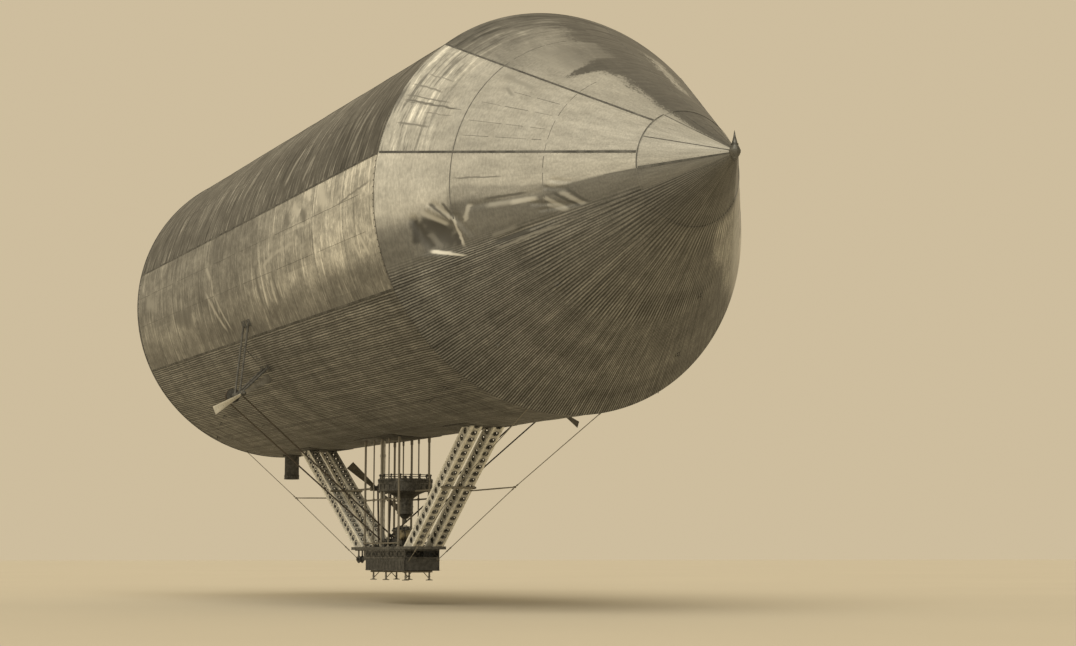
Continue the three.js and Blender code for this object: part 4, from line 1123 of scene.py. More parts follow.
@dataclass
class HullForm:
    """The hull's surface: a squashed barrel, a cone ahead of it and a flat dome behind it."""

    half_width: float = 6.0
    squash: float = 0.975
    rear: float = -13.2
    rim: float = 11.1
    tip: float = 19.8
    cap: float = 17.55
    stern: float = -14.6
    frame_pitch: float = 2.43
    heavy_seams: tuple[float, ...] = (11.2, 49.5, -26.5, -64.0)
    dent_place: Pair = (12.65, -15.5)
    dent_depth: float = 0.15
    wave_depth: float = 0.026

    def profile(self, x: Numbers) -> tuple[Numbers, Numbers, Numbers]:
        """Gives the section's radius and the outward direction in it.

        Args:
            x: Places along the hull.

        Returns:
            The radius, and the normal's parts along the axis and away from it.
        """
        x = np.asarray(x, dtype=float)
        width, dome_length, cone_length = self.half_width, self.rear - self.stern, self.tip - self.rim
        share = np.clip((self.rear - x) / dome_length, 0.0, 1.0)
        bulge = np.sqrt(1.0 - share**2)
        slope = math.hypot(cone_length, width)

        def pick(dome: Numbers, cone: Numbers | float, barrel: float) -> Numbers:
            """Takes each place's value from the part of the hull that it is on."""
            return np.where(x < self.rear, dome, np.where(x > self.rim, cone, barrel))

        radius = pick(width * bulge, width * (self.tip - x) / cone_length, width)
        along = pick(-share / dome_length, width / slope, 0.0)
        away = pick(bulge / width, cone_length / slope, 1.0)
        size = np.hypot(along, away)
        return radius, along / size, away / size

    def held(self, x: Numbers, angle: Numbers) -> Numbers:
        """Gives how freely the sheet can give: none at a heavy seam or a rim, most between them.

        Args:
            x: Places along the hull.
            angle: Degrees round it.

        Returns:
            Numbers from 0 to 1.
        """
        turn = np.radians(angle)
        above = np.degrees(np.arctan2(np.sin(turn), np.abs(np.cos(turn))))
        free = np.ones(np.broadcast(x, angle).shape)
        for seam in self.heavy_seams:
            free = free * smooth(np.abs(above - seam) / 4.0)
        for ring in (self.rear, self.rim, self.cap):
            free = free * smooth(np.abs(x - ring) / 0.35)
        frames = np.sin(np.pi * (x - self.rear) / self.frame_pitch) ** 2
        return free * (0.35 + 0.65 * frames)

    def dent(self, x: Numbers, angle: Numbers) -> Numbers:
        """Gives how deep the old dent low on the starboard side of the nose is, with its folds.

        Args:
            x: Places along the hull.
            angle: Degrees round it, from -180 to 180.

        Returns:
            Depths in metres.
        """
        radius = self.profile(x)[0]
        u, v = x - self.dent_place[0], np.radians(angle - self.dent_place[1]) * radius
        bowl = np.exp(-((u / 0.46) ** 2) - (v / 0.52) ** 2)
        depth = self.dent_depth * bowl * smooth((v + 0.62 + 0.30 * u) / 0.12 + 0.5)
        for start, end, width, height in DENTS:
            depth = depth + height * fold(x, angle, radius, start, end, width)
        return depth

    def sink(self, x: Numbers, angle: Numbers) -> Numbers:
        """Gives how far the thin sheet lies inside its true surface.

        Args:
            x: Places along the hull.
            angle: Degrees round it.

        Returns:
            Depths in metres, never negative.
        """
        turn = np.radians(angle)
        waves = np.zeros(np.broadcast(x, angle).shape)
        draw = np.random.default_rng(7)
        for _ in range(9):
            length, bend = draw.uniform(0.6, 1.8), draw.uniform(0.15, 0.5)
            phase, twist = draw.uniform(0.0, FULL_TURN, 2)
            count = draw.integers(2, 7)
            waves += np.sin(FULL_TURN / length * (x + bend * np.sin(count * turn + twist)) + phase)
        for _ in range(5):
            count, length = draw.integers(9, 26), draw.uniform(3.0, 9.0)
            phase = draw.uniform(0.0, FULL_TURN)
            waves += 1.3 * np.sin(count * turn + FULL_TURN / length * x + phase)
        soft = 0.5 + 0.5 * np.tanh(waves / 3.6)
        calmer = np.clip((self.tip - x) / 12.0, 0.12, 1.0)
        depth = self.wave_depth * soft * self.held(x, angle) * calmer
        wrapped = (angle + 180.0) % 360.0 - 180.0
        return np.maximum(depth + np.where(x > self.rim + 0.05, self.dent(x, wrapped), 0.0), 0.0)

    def point(self, x: Numbers, angle: Numbers, lift: float = 0.0, wrinkled: bool = True) -> Numbers:
        """Gives points of the hull's surface.

        Args:
            x: Places along the hull.
            angle: Degrees round it.
            lift: Distance outward from the surface.
            wrinkled: Whether the sheet's waves count.

        Returns:
            An array whose last axis is x, y and z.
        """
        x, angle = np.asarray(x, dtype=float), np.asarray(angle, dtype=float)
        radius, along, away = self.profile(x)
        out = lift - (self.sink(x, angle) if wrinkled else 0.0)
        reach, turn = radius + away * out, np.radians(angle)
        across, up = -reach * np.cos(turn), self.squash * reach * np.sin(turn)
        return np.stack(np.broadcast_arrays(x + along * out, across, up), axis=-1)

    def outward(self, x: Numbers, angle: Numbers) -> Numbers:
        """Gives the smooth surface's unit normals.

        Args:
            x: Places along the hull.
            angle: Degrees round it.

        Returns:
            An array whose last axis is x, y and z.
        """
        _, along, away = self.profile(x)
        turn = np.radians(angle)
        return np.stack(np.broadcast_arrays(along, -away * np.cos(turn), away * np.sin(turn)), axis=-1)

    def stud(
        self, spots: Spots, x: Numbers, angle: Numbers, lift: float = -0.001, wrinkled: bool = True
    ) -> None:
        """Adds points of the surface to a scatter.

        Args:
            spots: Where they go.
            x: Places along the hull.
            angle: Degrees round it.
            lift: Distance outward from the surface.
            wrinkled: Whether the sheet's waves count.
        """
        x, angle = np.broadcast_arrays(x, angle)
        places = self.point(x, angle, lift, wrinkled).reshape(-1, 3)
        for place, out in zip(places.tolist(), self.outward(x, angle).reshape(-1, 3).tolist()):
            spots.add(place, out)


def smooth(value: Numbers) -> Numbers:
    """Rises from 0 to 1 between 0 and 1, level at both ends."""
    share = np.clip(value, 0.0, 1.0)
    return share * share * (3.0 - 2.0 * share)


def fold(x: Numbers, angle: Numbers, radius: Numbers, start: Pair, end: Pair, width: float) -> Numbers:
    """Gives the cross-section of one crease between two places of the hull.

    Args:
        x: Places along the hull.
        angle: Degrees round it.
        radius: The hull's radius there.
        start: Place and angle where the crease starts.
        end: Place and angle where it ends.
        width: How wide it is.

    Returns:
        Numbers from 0, away from the crease, to 1 on it.
    """
    step = np.radians(1.0) * radius
    px, pv = x - start[0], (angle - start[1]) * step
    qx, qv = end[0] - start[0], (end[1] - start[1]) * step
    share = np.clip((px * qx + pv * qv) / (qx**2 + qv**2), 0.0, 1.0)
    gap = np.hypot(px - share * qx, pv - share * qv)
    return (1.0 - 0.6 * share) * np.exp(-((gap / width) ** 2))


def both_sides(*angles: float) -> list[float]:
    """Gives angles on the starboard side, each followed by the same one on the port side."""
    return [turned for angle in angles for turned in (angle, 180.0 - angle)]


@dataclass
class Hull:
    """The hull's skins, seams, rivets and hoops."""

    form: HullForm
    band_half: float = 0.045
    hoop_rise: float = 0.010
    heavy_half: float = 0.034
    light_half: float = 0.012
    line_half: float = 0.006
    strap_rise: float = 0.007
    light_rise: float = 0.003
    sunk: float = 0.004
    rivet_pitch: float = 0.16
    coarse: int = 4
    inner_rows: int = 11

    def skin(
        self, name: str, node: str, part: HullPart, stations: Numbers, angles: Numbers,
        wall: float, pole: bool,
    ) -> None:
        """Makes one closed skin of the hull: a fine outer wall with its waves, and a coarse plain inner one.

        Args:
            name: The piece's name.
            node: The CAD node that it stands for.
            part: The part of the hull that it is.
            stations: Places along the hull, from the open end.
            angles: Degrees round it, a whole number of groups of coarse steps.
            wall: Distance from the true surface to the inner wall.
            pole: Whether the last station is a point on the axis.
        """
        step = self.coarse
        outer_x = stations[:-1] if pole else stations
        inner_x = outer_x[np.linspace(0, len(outer_x) - 1, self.inner_rows).astype(int)]
        points: list[Point] = []
        walls = ((outer_x, angles, 0.0, True), (inner_x, angles[::step], -wall, False))
        for places, turns, lift, wrinkled in walls:
            along, around_hull = np.meshgrid(places, turns, indexing="ij")
            points += map(tuple, self.form.point(along, around_hull, lift, wrinkled).reshape(-1, 3).tolist())
        count, few, back = len(angles), len(angles) // step, len(outer_x) * len(angles)
        faces: list[tuple[int, ...]] = []
        for rows, size, first, way in ((len(outer_x), count, 0, 1), (len(inner_x), few, back, -1)):
            for s in range(rows - 1):
                low, high = first + s * size, first + (s + 1) * size
                for k in range(size):
                    after = (k + 1) % size
                    faces.append((low + k, low + after, high + after, high + k)[::way])
        last_outer, last_inner = (len(outer_x) - 1) * count, back + (len(inner_x) - 1) * few
        for row, deep in ((0, back),) if pole else ((0, back), (last_outer, last_inner)):
            for k in range(few):
                rim = [row + (k * step + between) % count for between in range(step + 1)]
                faces.append((*rim, deep + (k + 1) % few, deep + k))
        if pole:
            top, away = float(stations[-1]), math.copysign(0.02, float(stations[-1] - stations[0]))
            points += [(top, 0.0, 0.0), (top - away, 0.0, 0.0)]
            faces += [(last_outer + k, last_outer + (k + 1) % count, len(points) - 2) for k in range(count)]
            faces += [(last_inner + (k + 1) % few, last_inner + k, len(points) - 1) for k in range(few)]
        Gather(points, faces).build(name, HullSheet(part), Slot.HULL, node, angle=50.0)

    def skins(self) -> None:
        """Makes the four skins, with the angles closer together where the old dent is."""
        form, gap = self.form, 0.0003
        even = np.arange(0.0, 360.0, 1.25)
        dented = np.concatenate([np.arange(0.0, 330.0, 1.5), np.arange(330.0, 360.0, 0.5)])
        barrel = np.linspace(form.rear, form.rim, 271)
        nose = np.linspace(form.rim + gap, form.cap, 190)
        cap = np.linspace(form.cap + gap, form.tip, 40)
        dome = form.rear - gap - (form.rear - form.stern - gap) * np.sin(np.linspace(0.0, math.pi / 2, 30))
        self.skin("hull_skin", "hull_barrel", HullPart.BARREL, barrel, even, 0.045, False)
        self.skin("nose_skin", "nose_cone", HullPart.NOSE, nose, dented, 0.30, False)
        self.skin("nose_cap_skin", "nose_cap", HullPart.CAP, cap, even[::2], 0.03, True)
        self.skin("stern_skin", "rear_dome", HullPart.STERN, dome, even[::2], 0.045, True)

    def strip(
        self, gather: Gather, x: Numbers, angle: Numbers, wide: Pair, rise: float, endless: bool = False
    ) -> None:
        """Adds a flat strip of sheet that follows the hull.

        Args:
            gather: Where it goes.
            x: Places along the hull, one for each station.
            angle: Degrees round it, one for each station.
            wide: Half its width along the hull, in metres, and round it, in degrees.
            rise: How far it stands up.
            endless: Whether it closes on itself.
        """
        corners = [
            self.form.point(x + side * wide[0], angle + side * wide[1], lift)
            for side, lift in ((-1, -self.sunk), (-1, rise), (1, rise), (1, -self.sunk))
        ]
        gather.loft(np.stack(corners, axis=1).tolist(), endless)

    def strap(self, gather: Gather, x: Numbers, angle: Numbers, half: Numbers | float, rise: float) -> None:
        """Adds a flat strap lengthwise or round the hull.

        Args:
            gather: Where it goes.
            x: Places along the hull, or one for all stations.
            angle: Degrees round it, or one for all stations.
            half: Half its width.
            rise: How far it stands up.
        """
        lengthwise = np.ndim(x) > 0
        x, angle = np.broadcast_arrays(x, angle)
        radius = np.maximum(self.form.profile(x)[0], 0.05)
        self.strip(gather, x, angle, (0.0, np.degrees(half / radius)) if lengthwise else (half, 0.0), rise)

    def ring(self, gather: Gather, x: float, half: float, rise: float) -> None:
        """Adds a flat strap round the whole hull."""
        angle = np.arange(288) * 1.25
        self.strip(gather, np.full(len(angle), x), angle, (half, 0.0), rise, endless=True)

    def dashes(
        self, gather: Gather, fixed: float, start: float, end: float, mean: float, lengthwise: bool = True
    ) -> None:
        """Adds a light seam that shows in dashes.

        Args:
            gather: Where it goes.
            fixed: Its angle where it runs lengthwise, or else its place along the hull.
            start: Where it starts, in metres or degrees.
            end: Where it ends.
            mean: The dashes' mean length.
            lengthwise: Whether it runs along the hull.
        """
        draw = np.random.default_rng(round(abs(fixed) * 1000 + abs(start) * 10))
        at = start
        while at < end - 0.3 * mean:
            stop = min(end, at + mean * draw.uniform(0.5, 1.5))
            steps = np.linspace(at, stop, max(3, round(12 * (stop - at) / mean)))
            x, angle = (steps, fixed) if lengthwise else (fixed, steps)
            self.strap(gather, x, angle, self.line_half * draw.uniform(0.7, 1.3), self.light_rise)
            at = stop + mean * draw.uniform(0.05, 0.35)

    def heavy_seams(
        self, gather: Gather, rivets: Spots, cap: Numbers, nose: Numbers, barrel: Numbers
    ) -> None:
        """Adds the heavy seams with their rivets, and the strips that cover the nose's two joints.

        Args:
            gather: Where the straps go.
            rivets: Where their rivets go.
            cap: Places along the nose's cap.
            nose: Places along the nose.
            barrel: Places along the barrel.
        """
        form, half = self.form, self.heavy_half
        for stations, angle, wide in (
            (barrel, 11.2, half), (barrel, 49.5, 0.028), (barrel, -26.5, half), (barrel, -64.0, 0.024),
            (nose, 11.2, half), (nose, 49.5, 0.028), (cap, -5.0, np.linspace(0.040, 0.014, len(cap))),
        ):
            riveted = np.arange(stations[0] + 0.08, stations[-1], self.rivet_pitch)
            aside = np.degrees((np.max(wide) + 0.022) / form.profile(riveted)[0])
            for turned in both_sides(angle):
                self.strap(gather, stations, turned, wide, self.strap_rise)
                form.stud(rivets, riveted, turned - aside)
                form.stud(rivets, riveted, turned + aside)
        for turned in both_sides(28.0, 62.0, 79.0):
            self.strap(gather, cap, turned, self.light_half, self.light_rise)
        rise = self.hoop_rise + self.light_rise
        joints = ((form.cap, -5.0, 62.0, 0.014), (form.rim - self.band_half, -26.0, 90.0, 0.016))
        for x, low, high, wide in joints:
            for start, end in ((low, high), (180.0 - high, 180.0 - low)):
                self.strap(gather, x, np.linspace(start, end, 110), wide, rise)

    def light_seams(self, gather: Gather, rivets: Spots, nose: Numbers, barrel: Numbers) -> None:
        """Adds the light seams, and the rivets of the barrel's frames.

        Args:
            gather: Where the seams go.
            rivets: Where the rivets go.
            nose: Places along the nose.
            barrel: Places along the barrel.
        """
        form = self.form
        self.strap(gather, barrel, 90.0, self.light_half, self.light_rise)
        self.strap(gather, nose, 101.0, self.light_half, self.light_rise)
        for angle, start, end in (
            (17.5, 13.2, 15.2), (23.5, 13.2, 15.2), (27.0, 11.35, 12.9),
            (31.5, 13.3, 15.2), (39.0, 13.9, 15.2),
        ):
            for turned in both_sides(angle):
                self.dashes(gather, turned, start, end, 0.6)
        for turned in both_sides(-9.3, 1.5, 30.0, 70.0, -45.0, -80.0):
            self.dashes(gather, turned, form.rear + 0.3, form.rim - 0.3, 2.6)
        for k in range(1, 10):
            x = form.rear + k * form.frame_pitch
            self.ring(gather, x, self.line_half, self.light_rise)
            form.stud(rivets, x + 0.03, np.arange(0.0, 360.0, 1.8))
        for start in (-12.0, 128.0):
            self.strap(gather, 13.05, np.linspace(start, start + 64.0, 60), 0.014, self.light_rise)
        for x, low, high in ((13.05, 54.0, 76.0), (15.35, -20.0, 62.0)):
            for start, end in ((low, high), (180.0 - high, 180.0 - low)):
                self.dashes(gather, x, start, end, 9.0, False)

    def seams(self) -> None:
        """Makes the seams of barrel, nose and cap, and the rivets along them."""
        form = self.form
        barrel = np.linspace(form.rear + 0.10, form.rim - 0.10, 200)
        nose = np.linspace(form.rim + 0.01, form.cap - 0.03, 110)
        cap = np.linspace(form.cap + 0.03, form.tip - 0.15, 24)
        heavy, light, rivets = Gather(), Gather(), Spots()
        self.heavy_seams(heavy, rivets, cap, nose, barrel)
        self.light_seams(light, rivets, nose, barrel)
        heavy.build("hull_seam_straps", STRAP, Slot.HULL)
        light.build("hull_light_seams", LINE, Slot.HULL)
        rivets.grow("hull_rivets", Slot.HULL, (0.011, 0.006, 0.006), sides=5)

    def hoops(self) -> None:
        """Makes the hoops at the two rims and round the nose cap, with their beads."""
        form, beads = self.form, Spots()
        for name, x, half, node, finish in (
            ("front_rim_hoop", form.rim - self.band_half, 0.030, "front_rim_band", HullSheet(HullPart.NOSE)),
            ("rear_rim_hoop", form.rear + self.band_half, 0.044, "rear_rim_band", STRAP),
            ("nose_cap_hoop", form.cap, 0.020, "nose_cap_band", HullSheet(HullPart.CAP)),
        ):
            gather = Gather()
            self.ring(gather, x, half, self.hoop_rise)
            gather.build(name, finish, Slot.GIRDER, node)
        for x in (form.rim - 0.12, form.rear + 0.13):
            form.stud(beads, x, np.arange(0.0, 360.0, 1.8))
        beads.grow("rim_beads", Slot.GIRDER, (0.026, 0.014, 0.010), STRAP, sides=8)

    def build(self) -> None:
        """Makes the whole hull."""
        self.skins()
        self.seams()
        self.hoops()


# Girders, cage and pipe


def holed_panel(
    gather: Gather,
    corners: Sequence[Pair],
    centre: Pair,
    radius: float,
    place: Callable[[float, float, int], Point],
    edge_steps: int = 4,
) -> None:
    """Adds a four-sided panel with a round hole.

    Args:
        gather: Where it goes.
        corners: Its corners in the panel's own two directions.
        centre: The hole's centre.
        radius: The hole's radius.
        place: Gives the point for a place in the panel, on its face 0 or 1.
        edge_steps: Points along each edge.
    """
    edge = []
    for (u0, v0), (u1, v1) in zip(corners, [*corners[1:], corners[0]]):
        shares = (step / edge_steps for step in range(edge_steps))
        edge += [(u0 + (u1 - u0) * share, v0 + (v1 - v0) * share) for share in shares]
    turns = [math.atan2(v - centre[1], u - centre[0]) for u, v in edge]
    hole = [(centre[0] + radius * math.cos(t), centre[1] + radius * math.sin(t)) for t in turns]
    sides = ((edge, 0), (hole, 0), (hole, 1), (edge, 1))
    gather.loft([[place(u, v, face) for u, v in line] for line, face in sides], endless=True)


@dataclass
class Leg:
    """One perforated box girder, from the gondola's carrier up to the hull."""

    end: str
    side_name: str
    side: float
    foot_x: float
    top_x: float
    foot_z: float = -9.6
    top_z: float = -6.0
    bottom_z: float = -9.4995
    hidden_z: float = -5.72
    outer_y: float = 0.55
    inner_y: float = 0.2
    depth: float = 0.47
    sheet: float = 0.008
    flange: float = 0.062
    proud: float = 0.008
    flange_sheet: float = 0.012
    first_hole: float = 0.19
    pitch: float = 0.31
    hole_radius: float = 0.082
    face_hole_radius: float = 0.072
    rim_radius: float = 0.017
    rivet_pitch: float = 0.155

    def __post_init__(self) -> None:
        """Works out the leg's directions: up it, and aft across it."""
        self.foot = Vector((self.foot_x, 0.0, self.foot_z))
        self.up = (Vector((self.top_x, 0.0, self.top_z)) - self.foot).normalized()
        self.aft = Vector((-self.up.z, 0.0, self.up.x))

    def point(self, along: float, across: float, y: float) -> Vector:
        """Gives a point of the leg.

        Args:
            along: Distance up it.
            across: Distance aft of its forward edge.
            y: Distance from the airship's middle.

        Returns:
            The point.
        """
        place = self.foot + self.up * along + self.aft * across
        place.y = self.side * y
        return place

    def level(self, z: float, across: float) -> float:
        """Gives the distance up the leg at a height, on a line across from the forward edge."""
        return (z - self.foot_z - self.aft.z * across) / self.up.z

    def web(self, gather: Gather, rims: Spots, on_side: bool, level: float, inward: Vector) -> None:
        """Adds one web of panels with round holes, from the carrier into the hull.

        Args:
            gather: Where it goes.
            rims: Where the holes' rims go.
            on_side: Whether it faces sideways, and not fore or aft.
            level: Distance from the airship's middle where it is on a side, or else aft of the forward edge.
            inward: The way from the web's outer face to its inner one.
        """
        inset = self.flange * 0.4
        shift, radius = self.first_hole, self.hole_radius
        edges = lines = (inset, self.depth - inset)
        if not on_side:
            edges, lines = (self.inner_y + inset, self.outer_y - inset), (level, level)
            shift, radius = shift + self.pitch / 2, self.face_hole_radius

        def place(u: float, v: float, face: int = 0) -> Vector:
            """Gives a point on one of the web's faces."""
            spot = self.point(u, v, level) if on_side else self.point(u, level, v)
            return spot + inward * (self.sheet * face)

        starts = [self.level(self.bottom_z, line) for line in lines]
        end = max(self.level(self.hidden_z, line) for line in lines)
        middle, half, wide = sum(edges) / 2, self.pitch / 2, edges[1] - edges[0]
        room = wide / math.hypot(starts[1] - starts[0], wide)
        first = 0
        while (shift + first * self.pitch - sum(starts) / 2) * room < radius + 0.03:
            first += 1
        for k in range(first, int((end - shift) / self.pitch) + 2):
            along = shift + k * self.pitch
            low, high = starts if k == first else (along - half, along - half)
            corners = [(low, edges[0]), (along + half, edges[0]), (along + half, edges[1]), (high, edges[1])]
            holed_panel(gather, corners, (along, middle), radius, place)
            rims.add(place(along, middle), -inward, self.up)

    def angles(self, gather: Gather, rivets: Spots) -> None:
        """Adds the four corner angles and the places of their rivets."""
        p, f, t = self.proud, self.flange, self.flange_sheet
        section = [(-p, -p), (f, -p), (f, t - p), (t - p, t - p), (t - p, f), (-p, f)]
        for aft, outer in product((False, True), repeat=2):
            spots = [
                (self.depth - u if aft else u, self.outer_y - v if outer else self.inner_y + v)
                for u, v in (*section, (-p, f / 2), (f / 2, -p))
            ]
            gather.loft([
                [self.point(self.level(z, across), across, y) for across, y in spots[: len(section)]]
                for z in (self.bottom_z, self.hidden_z)
            ])
            sideways = Vector((0.0, self.side if outer else -self.side, 0.0))
            for (across, y), facing in zip(spots[len(section):], (self.aft if aft else -self.aft, sideways)):
                low, high = self.level(self.bottom_z, across) + 0.05, self.level(self.hidden_z, across)
                rivets.row(self.point(low, across, y), self.point(high, across, y), self.rivet_pitch, facing)

    def build(self) -> None:
        """Makes the leg with its rims and rivets."""
        name = f"leg_{self.end}_{self.side_name}"
        webs, angles, rims, rivets = Gather(), Gather(), Spots(), Spots()
        across = Vector((0.0, self.side, 0.0))
        self.web(webs, rims, True, self.outer_y, -across)
        self.web(webs, rims, True, self.inner_y, across)
        self.web(webs, rims, False, 0.0, self.aft)
        self.web(webs, rims, False, self.depth, -self.aft)
        self.angles(angles, rivets)
        angles.build(f"{name}_angles", GIRDER, Slot.GIRDER)
        webs.build(f"{name}_webs", WEB, Slot.GIRDER, name)
        size = (self.hole_radius + 0.006, self.rim_radius, 0.0)
        rims.grow(f"{name}_rims", Slot.GIRDER, size, RIM, Shape.RIM, 14)
        rivets.grow(f"{name}_rivets", Slot.GIRDER, (0.011, 0.006, 0.006))


@dataclass
class Cage:
    """The upright tubes on both sides between hull and gondola, with their rails, and the gas pipe."""

    y: float = 0.55
    post_radius: float = 0.038
    pipe_radius: float = 0.024
    rail_radius: float = 0.028
    bottom_z: float = -9.4995
    hidden_z: float = -5.74
    saddle_z: float = -5.845
    rail_z: tuple[float, ...] = (-7.9, -9.38)
    posts: tuple[float, ...] = (-2.7, -1.2, 0.27)
    pipes: tuple[float, ...] = (-1.93, -0.6)
    gas_x: float = -1.73
    gas_y: float = -0.3
    gas_radius: float = 0.086
    gas_bottom: float = -10.267
    collar_radius: float = 0.104
    collar_z: tuple[float, ...] = (-9.46, -7.96, -6.4)
    strap_z: tuple[float, ...] = (-7.1, -8.6)

    def tube(self, gather: Gather, bolts: Spots, x: float, y: float, radius: float) -> None:
        """Adds one upright with its foot flange, its clamps and its head plate.

        Args:
            gather: Where it goes.
            bolts: Where its bolts go.
            x: Its place along the airship.
            y: Its place across.
            radius: Its radius.
        """
        foot, wide, clamp, cuff = self.bottom_z, radius + 0.034, radius + 0.014, radius + 0.012
        profile = [(0.0, wide), (0.016, wide), (0.018, cuff), (0.07, radius + 0.008), (0.075, radius)]
        for level in (z - foot for z in self.rail_z):
            profile += [(level - 0.052, radius), (level - 0.05, clamp)]
            profile += [(level + 0.05, clamp), (level + 0.052, radius)]
        profile.sort()
        head = self.saddle_z - foot
        profile += [(head - 0.16, radius), (head - 0.15, cuff), (head, cuff), (self.hidden_z - foot, radius)]
        gather.turned((x, y, foot), UP, profile, 18)
        bolts.circle((x, y, foot + 0.016), UP, radius + 0.022, 6)

    def gas_pipe(self) -> None:
        """Makes the pale pipe with its flanged joints."""
        gather, bolts = Gather(), Spots()
        x, y, foot = self.gas_x, self.gas_y, self.gas_bottom
        radius, wide = self.gas_radius, self.collar_radius
        profile = [(0.0, 0.12), (0.02, 0.12), (0.022, radius)]
        for z in self.collar_z:
            collar = (
                (-0.03, radius), (-0.026, radius + 0.006), (0.0, radius + 0.006), (0.001, wide),
                (0.024, wide), (0.0245, 0.098), (0.0265, 0.098), (0.027, wide), (0.05, wide),
                (0.051, radius),
            )
            profile += [(z - foot + edge, reach) for edge, reach in collar]
            bolts.circle((x, y, z + 0.05), UP, 0.0965, 12)
            bolts.circle((x, y, z), DOWN, 0.0965, 12)
        gather.turned((x, y, foot), UP, [*profile, (self.hidden_z - foot, radius)], 32)
        for z in self.strap_z:
            gather.hoop((x, y, z), UP, band(radius - 0.002, radius + 0.006, 0.0, 0.04))
        gather.build("gas_pipe_flanged", PIPE, Slot.GIRDER, "gas_pipe")
        bolts.grow("gas_pipe_bolts", Slot.GIRDER, (0.007, 0.006, 0.009))

    def build(self) -> None:
        """Makes both sides of the cage and the gas pipe."""
        for name, side in SIDES.items():
            gather, bolts = Gather(), Spots()
            y = side * self.y
            for places, radius in ((self.posts, self.post_radius), (self.pipes, self.pipe_radius)):
                for x in places:
                    self.tube(gather, bolts, x, y, radius)
            for z in self.rail_z:
                gather.bar((self.posts[0], y, z), (self.posts[-1], y, z), self.rail_radius, 14)
                for x in self.posts:
                    outer = y + side * (self.post_radius + 0.012)
                    bolts.circle((x, outer, z), (0, side, 0), 0.028, 4, phase=0.5)
            gather.build(f"cage_{name}_tubes", TUBE, Slot.TUBE, f"cage_{name}")
            bolts.grow(f"cage_{name}_bolts", Slot.TUBE, (0.009, 0.008, 0.011))
        self.gas_pipe()


# Platform and gondola


